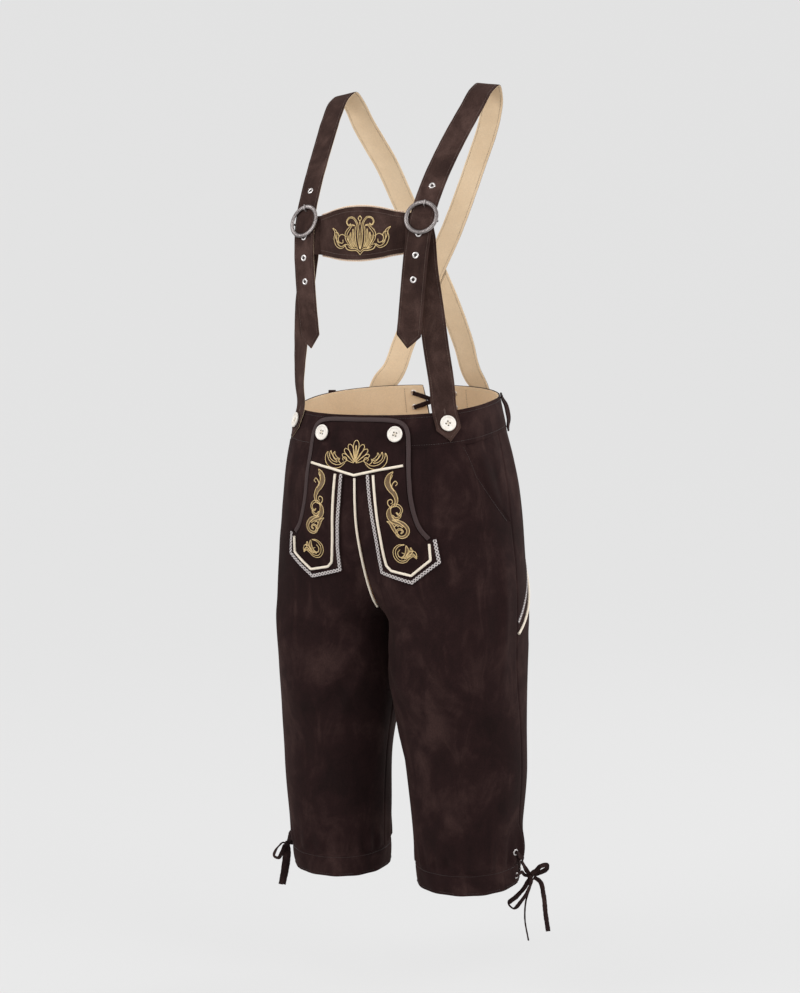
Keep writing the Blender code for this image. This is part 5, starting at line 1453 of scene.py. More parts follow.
def makeBuckle(word, place, facing, up):
    # an engraved ring before the strap and a bar behind it that the lower strap folds over
    s = buckleSet
    across = np.cross(up, facing)
    setback = strapSet["thickness"] / 2 + 4 * bodySet["layer"] + lowerStrapSet["thickness"] + s["bar"]
    ringLift = strapSet["thickness"] / 2 + bodySet["layer"] + s["depth"] / 2
    turn = np.linspace(0, 2 * math.pi, 29)
    wide, tall = (size / 2 * np.sign(part) * np.abs(part) ** 0.8
                  for size, part in ((s["band"], np.cos(turn)), (s["depth"], np.sin(turn))))
    inside = (wide / (s["band"] / 2))[:, None]
    border = np.exp(-(((np.abs(inside) - 0.72) / 0.09) ** 2))

    def lines(around):
        # two sets of slanting lines that cross round the ring
        return np.maximum(np.sin(around * s["teeth"] + inside * 2.4),
                          np.sin(around * s["teeth"] - inside * 2.4))

    def engraving(radius, around):
        top = (tall > 0)[:, None] * np.clip(1 - np.abs(inside) ** 4, 0, 1)
        return top * s["engraving"] * (lines(around) - 1.6 * border)

    profile = np.stack([s["radius"] + wide, tall], 1)
    ring = turnedPart(profile, place + facing * ringLift, facing, 264, engraving)
    around = turnsOf(264)
    wear = np.clip(0.55 + 0.40 * lines(around), 0, 1) - 0.5 * border
    wear = np.where(np.abs(inside) > 0.86, 0.85, wear) * (0.85 + 0.15 * np.sin(around * 3))
    parts, wears = [ring], [wear.ravel()]
    rod = roundProfile(12, s["bar"], s["bar"])
    back = place - facing * setback
    lengthwise = np.linspace(-s["radius"], s["radius"], 25)[:, None]
    rods = [(back + across * lengthwise, facing)]
    for end in (-1, 1):
        start = back + across * end * (s["radius"] - s["bar"] / 2)
        rods.append((start + facing * np.linspace(0, ringLift + setback, 9)[:, None], up))
    for line, face in rods:
        parts.append(sweepPart(line, *pathFrame(line, np.tile(face, (len(line), 1))), rod))
        wears.append(np.full(len(parts[-1]["points"]), 0.1))
    makePiece("buckle" + word, parts, (antiqueSilver,), ("buckle_" + word.lower(),),
              np.concatenate(wears))
    # the prong, from the bar up through its hole and over the ring
    hole = eyeletSet["places"][eyeletSet["prongHole"]]
    over = ringLift + s["depth"] / 2 + s["prong"]
    local = (
        (s["bar"] + lowerStrapSet["thickness"] + 3 * bodySet["layer"] + s["prong"], -setback),
        (0.0110, -0.0062), (hole - 0.0012, -0.0036), (hole, 0.0), (hole + 0.0010, 0.0032), (hole + 0.0024,
                                                                                            0.0060),
        (s["radius"] - s["band"] / 2, over + s["prongPlay"]),
        (s["radius"] + s["band"] / 2 - 0.0005, over + 0.0004),
    )
    line = smoothLine([place + up * rise + facing * out for rise, out in local], 60)
    size = 1 - 0.25 * np.linspace(0, 1, 60) ** 3
    made = sweepPart(line, *pathFrame(line, np.tile(facing, (60, 1))), roundProfile(12, s["prong"],
                                                                                    s["prong"]), size, size)
    makePiece("prong" + word, made, (antiqueSilver,), ("prong_" + word.lower(),),
              np.full(len(made["points"]), 0.8))


def makeButton(name, node, place, facing, twist=0.35):
    # a dished disc with a raised rim, four wells, and the thread that crosses in them
    s = buttonSet
    rim, top = s["radius"], s["thickness"]
    radius = np.concatenate([np.linspace(0.0001, 0.0046, 28), np.linspace(0.0050, rim - 0.0036, 10),
                             rim - 0.0036 + np.linspace(0.0003, 0.0034, 12)])
    height = top - s["dish"] + s["dish"] * np.clip((radius - rim + 0.0036) / 0.0014, 0, 1) ** 1.5
    height = height - 0.0008 * np.clip((radius - rim + 0.0012) / 0.0012, 0, 1) ** 2
    outer = [(rim, top - s["dish"]), (rim, top * 0.55), (rim - 0.0005, 0.0010), (rim - 0.0016, 0.0002),
             (rim * 0.6, 0.0), (0.0002, 0.0), (0.0001, 0.0)]
    profile = np.concatenate([np.stack([radius, height], 1), outer])
    wells = turnsOf(4) + twist

    def relief(away, around):
        down = np.zeros(away.shape)
        for well in wells:
            apart = np.sqrt(away ** 2 + s["wellPlace"] ** 2 - 2 * away * s["wellPlace"] * np.cos(around - well))
            down = np.maximum(down, np.clip((s["wellRadius"] * 1.25 - apart) / (s["wellRadius"] * 0.5), 0, 1))
        return -down * s["wellDepth"] * (np.arange(len(away)) < len(radius))[:, None]

    # the wells are painted dark, as shade in their hollows
    side, over = turnedFrame(facing)
    disc = turnedPart(profile, place, facing, 128, relief)
    cells = disc["points"].reshape(len(profile), 128, 3)
    flat = (cells[:-1] + cells[1:]) / 2 - place
    middles = [s["wellPlace"] * np.array([math.cos(well), math.sin(well)]) for well in wells]
    deep = np.zeros(flat.shape[:2], bool)
    for x, y in middles:
        deep |= np.hypot(flat @ side - x, flat @ over - y) < s["wellRadius"]
    deep &= (np.arange(len(deep)) < len(radius))[:, None]
    disc["finish"] = deep.ravel().astype(int)
    makePiece(name, disc, (horn, darkThread), (node,))
    # two crossing threads, low in the dish
    parts = []
    share = np.linspace(0, 1, 15)
    for first in (0, 1):
        flat = middles[first] + (middles[first + 2] - middles[first]) * share[:, None]
        rise = top - s["dish"] - 0.0006 + 0.0008 * np.sin(math.pi * share) ** 0.5 + 0.0002 * first
        line = place + side * flat[:, :1] + over * flat[:, 1:] + unit(facing) * rise[:, None]
        parts.append(sweepPart(line, *pathFrame(line, np.tile(facing, (15, 1))),
                               roundProfile(8, *s["thread"])))
    makePiece(name + "Thread", parts, (creamThread,))


def edgeStitches(line, side, up, width, lift, points):
    # stitches along both edges that follow the band's points
    run = runOf(line)
    inset = strapSet["stitchInset"]
    half = np.full(len(run), width / 2 - inset)
    slope = width / 2 / strapSet["point"]
    for pointed, away in zip(points, (run, run[-1] - run)):
        if pointed:
            half = np.minimum(half, slope * away - inset * math.hypot(1, slope))
    keep = half > 0.0003
    paths = [(line + side * (edge * half)[:, None] + up * lift)[keep] for edge in (-1, 1)]
    return merged([stitchPart(path, np.sign(lift) * up[keep], scale=0.7) for path in paths])


def makeStrap(word, side):
    # from its hanging point up over the shoulder, across the back and down to its back button
    s = strapSet
    line = evenly(smoothLine(strapTable(side), 2000), 0.0016)
    centre, face = line[:, :3], unit(line[:, 3:])
    run = runOf(centre)
    fine = np.linspace(0, run[-1], 4000)
    away = np.linalg.norm(readAt(fine, run, centre) - np.array(s["rows"][s["buckleRow"]][:3]), axis=1)
    buckleRun = fine[away.argmin()]
    spots = [atRun(centre, face, buckleRun + offset) for offset in eyeletSet["places"]]
    del spots[eyeletSet["prongHole"]]
    holes = [(spot[0], eyeletSet["hole"] + 0.0009) for spot in spots]
    part, across, up = flatBand(centre, face, s["width"], s["thickness"], (True, True), 37, holes)
    strap = makePiece("strap" + word, sided(part, side), (strapSuede, liningLeather),
                      ("strap_" + word.lower(),))
    for name, lift, thread in (("strapStitches", s["thickness"] / 2 - 0.0001, tanThread),
                               ("strapBackStitches", 0.0001 - s["thickness"] / 2, darkThread)):
        rows = edgeStitches(centre, across, up, s["width"], lift, (True, True))
        makePiece(name + word, sided(rows, side), (thread,))
    flip = flips[side]
    makeEyelet("strapEyelets" + word, [(spot[0] * flip, spot[1] * flip, s["thickness"]) for spot in spots])
    place, facing, up = atRun(centre, face, buckleRun)
    makeBuckle(word, place * flip, facing * flip, up * flip)
    makeLowerStrap(word, side, place, facing, up)
    place, facing, up = atRun(centre, face, run[-1] - buttonSet["inset"])
    makeButton("backButton" + word, "back_strap_button_" + word.lower(),
               (place + facing * (s["thickness"] / 2 + buttonSet["backLift"])) * flip, facing * flip)
    holdStitches("backHold" + word, side, centre, face, s)


def holdStitches(name, side, centre, face, s):
    # the worked buttonhole beyond the button: close stitches up both sides of a short slit
    distance = runOf(centre)[-1] - buttonSet["inset"] + s["hold"]
    place, facing, up = atRun(centre, face, distance)
    share = np.linspace(-0.0045, 0.0045, 12)[:, None]
    parts = []
    for edge in (-0.0007, 0.0007):
        line = place + up * share + np.cross(up, facing) * edge + facing * (s["thickness"] / 2)
        parts.append(stitchPart(line, np.tile(facing, (12, 1)), pitch=0.0009, length=0.0009))
    makePiece(name, sided(merged(parts), side), (tanThread,))


def makeLowerStrap(word, side, place, facing, up):
    # folds over the buckle's bar and runs down to its button on the waistband
    s = lowerStrapSet
    setback = strapSet["thickness"] / 2 + 4 * bodySet["layer"] + s["thickness"] + buckleSet["bar"]
    bar = place - facing * setback
    bend = buckleSet["bar"] + bodySet["layer"] + s["thickness"] / 2
    rows = [np.concatenate([bar - facing * bend - up * s["foldDown"], -facing])]
    for turn in np.radians([180, 135, 90, 45, 0]):
        out = facing * math.cos(turn) + up * math.sin(turn)
        rows.append(np.concatenate([bar + out * bend, out]))
    rows.append(np.concatenate([bar + facing * bend - up * s["foldFront"], facing]))
    ends = [waistRow(math.radians(a), d, s["thickness"] / 2 + s["waistLift"]) for a, d in s["waistPoints"]]
    line = evenly(smoothLine(np.concatenate([rows, s["rows"], ends]), 2400), 0.0012)
    centre, face = line[:, :3], unit(line[:, 3:])
    part, across, top = flatBand(centre, face, strapSet["width"], s["thickness"], (False, True))
    strap = makePiece("lowerStrap" + word, sided(part, side), (strapSuede, liningLeather),
                      ("lower_strap_" + word.lower(),))
    run = runOf(centre)
    made = edgeStitches(centre, across, top, strapSet["width"], s["thickness"] / 2 - 0.0001, (False, True))
    makePiece("lowerStitches" + word, sided(made, side), (tanThread,))
    place, facing, _ = atRun(centre, face, run[-1] - buttonSet["inset"])
    makeButton("frontButton" + word, "front_strap_button_" + word.lower(),
               (place + facing * (s["thickness"] / 2 + bodySet["layer"])) * flips[side], facing * flips[side])
    holdStitches("frontHold" + word, side, centre, face, s)


chestSet = {
    "rows": ((0, .2905, .2125, -.1290), (.02, .2895, .2135, -.1285), (.04, .2865, .2160, -.1262),
             (.06, .2820, .2200, -.1215), (.0742, .2797, .2222, -.1155)),
    "tab": ((.0752, .2797, .2222, -.1160), (.08, .2800, .2226, -.1168), (.085, .2800, .2230, -.1168)),
    "tabLean": (0.25, 0.2585, 0.0748, 0.0050),
    "thickness": 0.0016,
    "trim": 0.0035,
    "trimThickness": 0.0010,
    "trimReach": 0.0708,
    "pinks": 0.0026,
    "stitchInset": 0.0062,
    "motifTop": 0.2768,
    "motifX": 0.0045,
    "wave": 0.0004,
    "stitched": 0.0725,
    "backingStitch": -0.0016,
    "pinkDepth": 0.0011,
}


def chestTable():
    # X, top, bottom and Y of the panel at even steps, with its tab under the strap
    fine = smoothLine(np.array(chestSet["rows"]), 110)
    tab = subdivided(np.array(chestSet["tab"]), 0.0009)
    return fine, np.concatenate([fine, tab])


def chestWave(x, z):
    return chestSet["wave"] * np.sin(x * 90 + 1) * np.sin(z * 60)


def chestGrid(table, forward, margin, share):
    # one layer of the panel, so far before its middle and with so wide a margin
    top, bottom = table[:, 1] + margin, table[:, 2] - margin
    z = top + (bottom - top) * share
    x = np.broadcast_to(table[:, 0], z.shape)
    wave = chestWave(x, z) * (np.abs(x) < 0.07)
    # the end under the strap leans back at the top, as the strap does
    slope, middle, start, reach = chestSet["tabLean"]
    lean = slope * (z - middle) * np.clip((x - start) / reach, 0, 1)
    return bothHalves(np.stack([x, np.broadcast_to(table[:, 3], z.shape) - forward + wave + lean, z], -1))


def makeChest():
    # the panel, its beige backing with a pinked edge, and their stitches
    s = chestSet
    fine, rows = chestTable()
    share = edged(60, 0.4)[:, None]
    half = s["thickness"] / 2
    face, back = (chestGrid(rows, forward, 0, share) for forward in (half, -half))
    panel = makePiece("chestPanel", shellPart(face, back), (strapSuede,), ("chest_panel",))
    backing = fine.copy()
    backing[:, 0] *= s["trimReach"] / backing[-1, 0]
    backing = smoothLine(backing, 240)
    phase = backing[:, 0] / s["pinks"]
    margin = s["trim"] - s["pinkDepth"] * np.abs(phase - np.round(phase)) * 2
    front = -half - bodySet["layer"]
    grids = [chestGrid(backing, forward, margin, share) for forward in (front, front - s["trimThickness"])]
    trim = makePiece("chestBacking", shellPart(*grids), (backingLeather,), ("chest_lining",))
    for name, slotName, thread, inset, depth, scale in (
            ("chestStitches", "strap_leather", tanThread, s["stitchInset"], half, 0.85),
            ("backingStitches", "lining", rustThread, s["backingStitch"], front, 1.15)):
        parts = []
        for z in (rows[:, 1] - inset, rows[:, 2] + inset):
            y = rows[:, 3] - depth - 0.0001 + chestWave(rows[:, 0], z)
            line = mirroredLine(np.stack([rows[:, 0], y, z], 1)[rows[:, 0] < s["stitched"]])
            parts.append(stitchPart(line, np.tile((0.0, -1.0, 0.0), (len(line), 1)), scale=scale))
        makePiece(name, parts, (thread,))


def makeFlapButton(word, side):
    # on the flap's face, a little above it
    x, drop = buttonSet["flapPlace"]
    face = surfaceNormal(frontPoint, x, drop)
    place = raised(frontPoint, x, drop, flapLift(x, drop) + flapSet["thickness"] + 2 * bodySet["layer"])
    makeButton("flapButton" + word, "flap_button_" + word.lower(), place * flips[side], face * flips[side],
               buttonSet["flapTwist"])


for side, word in bothSides:
    makeStrap(word, side)
    makeFlapButton(word, side)
makeChest()
print("braces made")

# the embroidery: satin leaves inside couched outlines
threadSet = {
    "cord": 0.00056,
    "dome": 0.0006,
    "spacing": 0.0006,
    "lift": 0.0001,
    "fullDome": 0.0016,
    "plain": (1.0, "cord", 0.5),
}
# Each stroke is its line in millimetres, its widest, its kind and how far along it is widest.
# A leaf is filled and outlined, a rim and a petal are only outlined, and one with no kind is a single cord.
yokeMotif = (
    (((0, 68), (0, 57), (0, 47), (0, 37)), 9.6, "petal", 0.74),
    (((0, 64), (0, 55), (0, 45)), 2.0, "leaf", 0.60),
    (((0.6, 69), (4.5, 60), (8.0, 51.5), (13.0, 43.5)), 8.0, "petal", 0.76),
    (((1.2, 70), (7.5, 63), (13.5, 56.5), (20.0, 50.5)), 7.4, "petal", 0.76),
    (((1.8, 71), (9.0, 67.5), (16.0, 63), (23.5, 58.5)), 6.2, "petal", 0.74),
    (((50, 55.5), (51.5, 61), (50, 68.5), (43.5, 75), (34.5, 77.5), (25.5, 76), (18.5, 71)), 7.0, "rim",
     0.42),
    (((44.5, 54), (44, 60.5), (39, 67), (31.5, 70.5)), 5.4, "rim", 0.45),
    (((37, 55), (38.5, 58.5), (35.5, 63.5), (29.5, 66)), 4.2, "rim", 0.50),
    (((18.5, 71), (15, 67.5), (16.5, 63.5), (20.5, 63), (22.5, 66), (20.5, 68)),),
    (((25, 73), (29, 68.5), (27.5, 64.5)),),
)
scrollMotif = (
    (((64.5, 83.5), (58.5, 90), (56.4, 100), (60.5, 109), (67, 117), (70.5, 127), (68, 137)), 8.6, "leaf",
     0.34),
    (((64.5, 88.5), (60.5, 97), (62.5, 106), (67, 113)),),
    (((63, 108.5), (64.5, 101.5), (69, 97.5), (72, 101), (69, 104.5)),),
    (((68, 137), (61.5, 137.5), (57, 133), (57.5, 127.5), (62.5, 126), (64.5, 130.5), (61.5, 132.5)),),
    (((61.5, 137), (58.6, 145), (60, 154), (66, 160.5), (74, 164), (80.5, 169)), 7.4, "leaf", 0.36),
    (((60.5, 141), (66, 134.5), (75, 136.5), (78.5, 143.5), (73.5, 149.5), (70, 146)), 3.4, "rim", 0.40),
    (((64, 150), (69, 155.5), (75.5, 153), (77.5, 148.5)), 3.4, "leaf", 0.50),
    (((63.5, 158), (74.5, 160.5), (83.5, 166.5), (87.5, 175), (84, 183), (76.5, 185.5), (70, 181),
      (70.8, 174.5),
      (76.2, 172.5), (79.5, 176.5), (76.3, 179.5)), 4.6, "leaf", 0.26),
    (((55, 160), (61, 164), (64.5, 170.5), (68.5, 178), (74, 184.5)), 4.6, "leaf", 0.45),
    (((66, 170), (69, 166.5), (73.5, 168.5)),),
)
leafMotif = (
    (((81, 197.5), (71, 199.5), (64, 207.5), (64.5, 217.5), (71.5, 225), (80.5, 224.5), (87.5, 218.5),
      (93.5, 215.5),
      (99, 219.5)), 4.0, "rim", 0.40),
    (((73.5, 205.5), (69.5, 210.5), (71.5, 217.5), (77.5, 217.5), (80, 212.5), (76, 210.5)),),
    (((83.5, 199), (84.5, 207), (81, 215), (74.5, 220)), 4.8, "leaf", 0.34),
    (((90.5, 202), (90.5, 208), (86, 215), (79, 220)), 4.2, "leaf", 0.34),
    (((99, 217), (94.5, 210), (87.5, 211.5), (81, 219.5)), 4.6, "rim", 0.40),
    (((94, 206.5), (91.5, 211)),),
)
chestMotif = (
    (((0.6, 49), (2.4, 36), (3.4, 21), (6.5, 8), (13, 2), (19.5, 3), (23, 9), (19.5, 13.5), (16, 11)), 2.6,
     "rim", 0.30),
    (((0, 8), (-2.8, 3.5), (0, 0), (2.8, 3.5), (0, 8), (0, 14)),),
    (((8.5, 14), (14, 13.5), (18.5, 18), (24, 25), (24, 33), (19.5, 40.5), (12.5, 48)), 3.6, "rim", 0.45),
    (((4.5, 48), (7.5, 38), (8.5, 26), (8, 15)),),
    (((7, 46), (11, 38), (12.5, 29), (12, 19)), 2.6, "leaf", 0.60),
    (((9.5, 46.5), (14.5, 39.5), (17, 32), (16.5, 24)), 2.6, "leaf", 0.60),
    (((12, 47), (17.5, 40.5), (20.5, 34), (20.5, 28)),),
    (((0, 57.5), (6, 51.5), (14.5, 51), (23.5, 48), (26, 42), (20, 42.5)),),
    (((0, 53), (6.5, 48.5), (15, 48), (21, 45)),),
    (((24, 30), (32, 26.5), (38.5, 30.5), (37, 38), (30.5, 39), (30, 34)),),
    (((49.5, 16.5), (43.5, 22.5), (44.5, 33), (40.5, 42.5), (33, 46), (26, 42)), 5.0, "rim", 0.40),
    (((37, 30), (40, 24), (44, 23.5)),),
    (((46, 22), (43, 32), (37, 41)),),
)


def strokeWidth(run, widest, kind, peak):
    # pointed at its start and widest at its peak; a petal's end is round and the others' ends are narrow
    rise = np.sin(np.clip(run / peak, 0, 1) * math.pi / 2) ** 0.9
    fall = np.clip((run - peak) / (1 - peak), 0, 1)
    last = np.sqrt(1 - fall ** 2) if kind == "petal" else 1 - 0.72 * fall ** 1.3
    return widest * np.where(run < peak, 0.08 + 0.92 * rise, last)


def strokeParts(laid, stroke, flip=1.0):
    # the fill lies between two edges of the line, and the outline runs down one edge and up the other
    s = threadSet
    points, widest, kind, peak = (*stroke, *s["plain"])[:4]
    line = evenly(smoothLine(np.array(points, float) * (0.001 * flip, 0.001), 300), s["spacing"])
    along = unit(np.gradient(line, axis=0))
    across = np.stack([-along[:, 1], along[:, 0]], 1)
    share = np.linspace(0, 1, len(line))
    edge, size = line, (0.65 + 0.45 * np.sin(math.pi * share) ** 0.6) * 1.15
    parts = []
    if kind != "cord":
        half = strokeWidth(share, widest * 0.001, kind, peak)[:, None] / 2
        edge = evenly(np.concatenate([(line + across * half)[::-1], (line - across * half)[1:]]),
                      s["spacing"])
        size = 1.0
    if kind == "leaf":
        cross = np.linspace(-1, 1, 9)
        grid = line[:, None] + across[:, None] * (cross * half)[..., None]
        dome = s["dome"] * (1 - cross ** 2) ** 0.7 * np.clip(half / s["fullDome"], 0.4, 1)
        flat = grid.reshape(-1, 2)
        top = laid(flat, (dome + s["lift"]).reshape(-1))[0].reshape(*grid.shape[:2], 3)
        low = laid(flat, np.full(len(flat), -s["lift"]))[0].reshape(*grid.shape[:2], 3)
        parts.append(shellPart(top, low, bulge=0.1))
    place, face = laid(edge, s["cord"] * 0.8)
    round = roundProfile(8, s["cord"], s["cord"])
    parts.append(sweepPart(place, *pathFrame(place, face), round, size, size, finish=1))
    return parts


def onYoke(path, height=0.0):
    # both halves of the flap's face are alike, so the right half is read on the left and turned over
    flip = np.where(path[:, :1] < 0, flips[-1], flips[1])
    place, face = onFlap(path * flip[:, :2], height)
    return place * flip, face * flip


def onChest(path, height=0.0):
    # the chest panel's face at X and a distance below the motif's top
    s = chestSet
    rows = chestTable()[0]
    place = path[:, 0] + s["motifX"]
    x, z = np.abs(place), s["motifTop"] - path[:, 1]
    y = np.interp(x, rows[:, 0], rows[:, 3]) - s["thickness"] / 2 + chestWave(x, z) - height
    slope = np.interp(x, rows[:, 0], np.gradient(rows[:, 3], rows[:, 0])) * np.sign(place)
    return np.stack([place, y, z], 1), unit(np.stack([slope, -np.ones(len(path)), 0 * slope], 1))


def makeEmbroidery():
    # the yoke's and the chest's motifs have mirrored halves; the legs' are mirrored from leg to leg
    for name, motif, laid in (("yokeMotif", yokeMotif, onYoke), ("chestMotif", chestMotif, onChest)):
        parts = []
        for stroke in motif:
            central = all(abs(x) < 0.01 for x, _ in stroke[0])
            for flip in (1.0,) if central else (1.0, -1.0):
                parts += strokeParts(laid, stroke, flip)
        makePiece(name, parts, (goldThread, paleGold))
    for side, word in bothSides:
        for name, motif in (("scrollMotif", scrollMotif), ("leafMotif", leafMotif)):
            made = merged([part for stroke in motif for part in strokeParts(onFlap, stroke)])
            makePiece(name + word, sided(made, side), (goldThread, paleGold))


makeEmbroidery()
print("embroidery made")

# the laces: flat suede through the cuffs' eyelets, tied by the seam, and two across the waist's back slit
laceSet = {
    "width": 0.0074,
    "thickness": 0.0022,
    "knot": 0.0060,
    "inKnot": 0.6,
    "lacings": {
        "Upper": ((12.5, 0.7005, 0.0022), (10, 0.7040, 0.0026), (7, 0.7090, 0.0026), (4, 0.7145, 0.0028),
                  (1.5, 0.7205, 0.0050), (0, 0.7260, 0.0075)),
        "Lower": ((9, 0.7415, 0.0026), (6.5, 0.7405, 0.0036), (3, 0.7385, 0.0056)),
    },
    "sunk": 0.0034,
    "folded": 6.25,
    "lacingFace": (0.25, -0.85, 0.45),
    "loopFace": (0.15, -0.9, 0.25),
    "loopLean": {"Upper": 2.1, "Lower": 0.35},
    "drawnIn": 0.010,
    "knotTurn": ((0.80, 0.30, 0.52), (-0.25, 0.95, -0.17), (-0.54, 0.0, 0.84)),
    "eyelets": ((12.5, 0.7005), (-9.0, 0.7120), (9.0, 0.7415), (-8.5, 0.738)),
    "eyeletTurn": 0.35,
    "eyeletSunk": 0.0011,
    "waistInset": 0.0020,
    "waistCrossing": 0.0048,
}
# Each route begins and ends with the way that it leaves the knot; then come its points and its facings.
laceRoutes = {
    "Left": {
        "knot": (0.2085, 0.0500, -0.7460),
        "lacings": {"Upper": (-0.55, -0.35, 0.76), "Lower": (-0.93, -0.35, 0.10)},
        "loops": {
            "Upper": ((0.40, -0.50, 0.77), (0.2172, 0.0455, -0.7358), (0.2278, 0.0450, -0.7258),
                      (0.2352, 0.0484, -0.7242), (0.2338, 0.0530, -0.7302), (0.80, 0.45, 0.40)),
            "Lower": ((-0.35, -0.55, -0.75), (0.2025, 0.0400, -0.7610), (0.1920, 0.0310, -0.7760),
                      (0.1810, 0.0260, -0.7890), (0.1880, 0.0275, -0.7950), (0.1990, 0.0340, -0.7830),
                      (0.2080, 0.0410, -0.7640), (0.30, -0.75, -0.60)),
        },
        "tails": {
            "Wide": ((0.90, 0.20, -0.40), (0.2210, 0.0520, -0.7520), (0.2290, 0.0515, -0.7740),
                     (0.2330, 0.0505, -0.8020), (0.2380, 0.0500, -0.8300)),
            "Thin": ((-0.10, 0.60, -0.80), (0.2040, 0.0560, -0.7640), (0.1970, 0.0550, -0.7880),
                     (0.1965, 0.0520, -0.8150), (0.2040, 0.0500, -0.8500)),
        },
        "facings": {"Wide": (0.35, -0.93, 0.05), "Thin": (0.82, 0.56, 0.0)},
    },
    "Right": {
        "knot": (0.2220, 0.0140, -0.7411),
        "lacings": {"Upper": (-0.62, 0.15, 0.77), "Lower": (-0.95, 0.25, 0.10)},
        "loops": {
            "Upper": ((0.05, 0.60, 0.80), (0.2245, 0.0280, -0.7251), (0.2237, 0.0400, -0.7225),
                      (0.2178, 0.0400, -0.7313), (-0.10, 0.98, 0.15)),
            "Lower": ((0.85, -0.50, 0.10), (0.2305, 0.0045, -0.7425), (0.2328, -0.0060, -0.7497),
                      (0.2333, -0.0100, -0.7589), (0.2270, -0.0085, -0.7615), (0.2235, 0.0000, -0.7515),
                      (0.25, -0.85, -0.45)),
        },
        "tails": {
            "Wide": ((0.10, -0.25, -0.96), (0.2235, 0.0090, -0.7573), (0.2253, 0.0080, -0.7724),
                     (0.2271, 0.0060, -0.7908), (0.2298, 0.0040, -0.8094)),
            "Thin": ((0.15, 0.45, -0.88), (0.2253, 0.0220, -0.7604), (0.2285, 0.0235, -0.7800),
                     (0.2315, 0.0220, -0.7980), (0.2340, 0.0190, -0.8140)),
        },
        "facings": {"Wide": (-0.45, -0.89, 0.0), "Thin": (-0.45, -0.89, 0.0)},
    },
}


def laceBand(table, narrow=(0.8, 1.0), width=laceSet["width"]):
    # a soft flat band along rows of place and facing, drawn in at the ends where it is tied
    s = laceSet
    line = evenly(smoothLine(table, 900), 0.0007)
    centre, face = line[:, :3], unit(line[:, 3:])
    across, up = pathFrame(centre, face)
    run = runOf(centre)
    drawn = np.minimum(*(end + (1 - end) * np.clip(away / s["drawnIn"], 0, 1) ** 0.7
                         for end, away in zip(narrow, (run, run[-1] - run))))
    size = drawn * (1 + 0.03 * np.sin(run * 900) + 0.03 * np.sin(run * 370 + 1))
    thick = (1.25 - 0.25 * drawn) * (1 + 0.06 * np.sin(run * 540 + 2))
    return sweepPart(centre, across, up, puffProfile(width, s["thickness"], 16, 3.0), size, thick), centre


def knotPart(centre, radius):
    # the lace wound over itself three times
    turn = turnsOf(180)
    line = np.stack([np.sin(turn) + 2 * np.sin(2 * turn), np.cos(turn) - 2 * np.cos(2 * turn),
                     -1.25 * np.sin(3 * turn)], 1) * (radius / 3)
    line = line @ np.array(laceSet["knotTurn"]).T
    tangent = unit(np.roll(line, -1, 0) - np.roll(line, 1, 0))
    out = unit(line + 1e-6)
    up = unit(out - (out * tangent).sum(1, keepdims=True) * tangent)
    ring = sweepPart(line + centre, np.cross(tangent, up), up, puffProfile(0.0042, 0.0022, 12), loop=True)
    core = np.stack([np.linspace(-0.35, 0.35, 9) * radius, np.zeros(9), np.zeros(9)], 1) + centre
    size = np.sin(np.linspace(0.5, math.pi - 0.5, 9))
    middle = sweepPart(core, *freeFrame(core), roundProfile(14, radius * 0.75, radius * 0.75), size, size)
    return merged([ring, middle])


def makeLace(name, band, side, node):
    # the lace's band as one piece, standing for its imported solid
    part, centre = band
    thing = makePiece(name, sided(part, side), (laceSuede,))
    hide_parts(node)


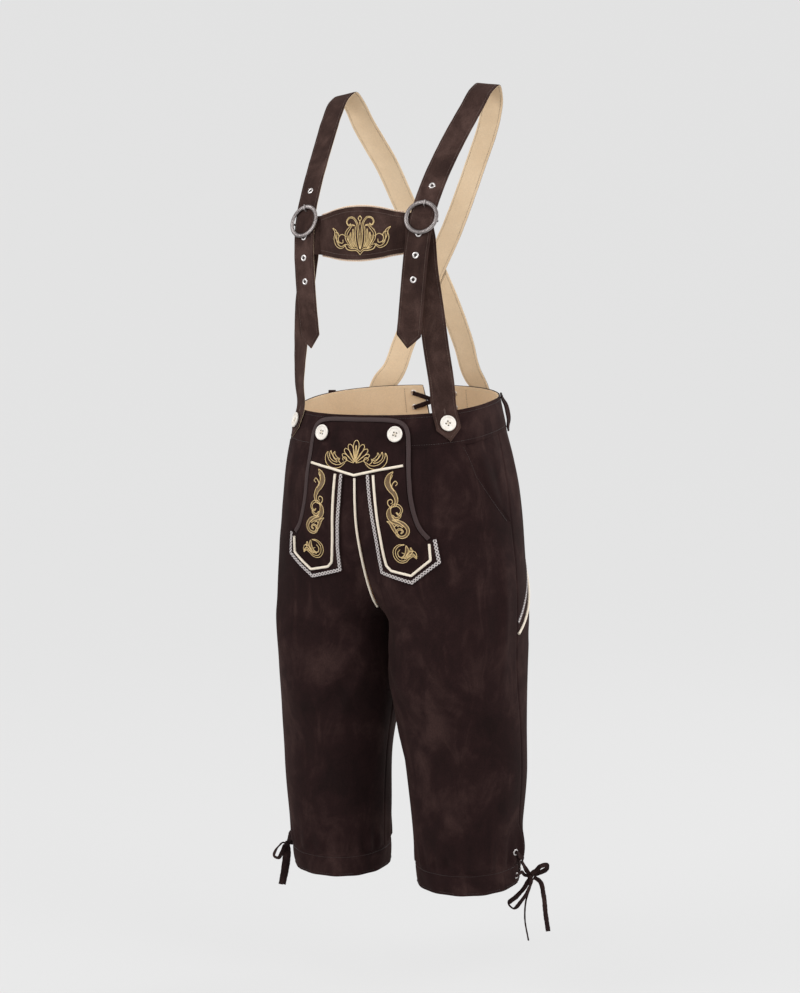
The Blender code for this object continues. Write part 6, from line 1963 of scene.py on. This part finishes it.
def makeCuffLaces(word, side):
    # two lacings from the cuff's eyelets to the knot, its two loops and its two tails
    s = laceSet
    routes = laceRoutes[word]
    knot = np.array(routes["knot"])
    low = word.lower()
    tied = makePiece("cuffKnot" + word, sided(knotPart(knot, s["knot"]), side), (laceSuede,),
                     ("cuff_knot_" + low,))

    def leaving(direction):
        out = unit(np.array(direction))
        return [knot + out * s["knot"] * s["inKnot"], knot + out * s["knot"] * 1.5]

    # each lacing comes out of its eyelet and over the slit's edge; a short one is folded narrower
    for name, direction in routes["lacings"].items():
        rows = np.array(s["lacings"][name])
        rows = np.concatenate([rows[:1] - (0, 0, s["sunk"]), rows])
        angle = np.radians(rows[:, 0] - girthAt(rows[:, 1])["seam"])
        places = raised(girthPoint, angle, rows[:, 1], rows[:, 2] + clothHeight(angle, rows[:, 1], side))
        places = np.concatenate([places, leaving(direction)[::-1]])
        forward = np.tile(unit(np.array(s["lacingFace"])), (2, 1))
        facing = np.concatenate([surfaceNormal(girthPoint, angle, rows[:, 1]), forward])
        width = min(s["width"], round(float(runOf(places)[-1]) / s["folded"], 4))
        makeLace("cuffLacing" + name + word, laceBand(np.concatenate([places, facing], 1), (0.5, 0.8), width),
                 side, "cuff_lacing_%s_%s" % (name.lower(), low))
    # the band's face turns outwards round each loop and a little to the front
    for name, route in routes["loops"].items():
        points = np.array([*leaving(route[0]), *np.array(route[1:-1]), *leaving(route[-1])[::-1]])
        facing = unit(unit(points - points.mean(0)) + np.array(s["loopFace"]) * s["loopLean"][name])
        makeLace("cuffLoop" + name + word, laceBand(np.concatenate([points, facing], 1), (0.75, 0.75)), side,
                 "cuff_loop_%s_%s" % (name.lower(), low))
    for name, route in routes["tails"].items():
        points = np.array([*leaving(route[0]), *np.array(route[1:])])
        facing = np.tile(unit(np.array(routes["facings"][name])), (len(points), 1))
        makeLace("cuffTail" + name + word, laceBand(np.concatenate([points, facing], 1), (0.75, 1.0)), side,
                 "cuff_tail_%s_%s" % (name.lower(), low))
    spots = []
    for degrees, drop in s["eyelets"]:
        turn = math.radians(degrees) - math.radians(float(girthAt(drop)["seam"]))
        onCuff = drop > bodySet["outseam"] - bodySet["cuff"]
        height = cuffSet["lift"] + cuffSet["puff"] if onCuff else float(clothHeight(turn, drop, side))
        place = raised(girthPoint, turn, drop, height - s["eyeletSunk"])
        # the front's rings turn a little forward with the opening's soft edge
        forward = np.array((0.0, -s["eyeletTurn"], 0.0)) * (degrees > 0)
        facing = unit(surfaceNormal(girthPoint, turn, drop) + forward)
        spots.append(((place + facing * 0.0006) * flips[side], facing * flips[side], 0.0022))
    makeEyelet("cuffEyelets" + word, spots)


def makeWaistLaces():
    # two laces that cross inside the back slit from eyelet to eyelet
    s, w = laceSet, waistSet
    inside = -(s["waistInset"] + bodySet["seamGap"] + w["facing"] + bodySet["layer"] + s["waistInset"])
    high, low = w["eyeletDrops"]
    spots = []
    for name, node, first, last, extra in (("waistLaceOne", "waist_lace_one", high, low, 0.0),
                                           ("waistLaceTwo", "waist_lace_two", low, high, s["waistCrossing"])):
        share = np.linspace(-1, 1, 41)
        drop = first + (last - first) * (share + 1) / 2
        angle = backAngle(share * w["eyeletX"], drop)
        line = raised(girthPoint, angle, drop, inside - extra * np.exp(-((share / 0.35) ** 2)))
        face = surfaceNormal(girthPoint, angle, drop)
        makeLace(name, laceBand(np.concatenate([line, -face], 1), (0.9, 0.9)), 1, node)
        for end in (0, -1):
            spots.append((raised(girthPoint, angle[end], drop[end], -0.0016), face[end], 0.0036))
    makeEyelet("waistEyelets", spots)


for side, word in bothSides:
    makeCuffLaces(word, side)
makeWaistLaces()
print("laces made")
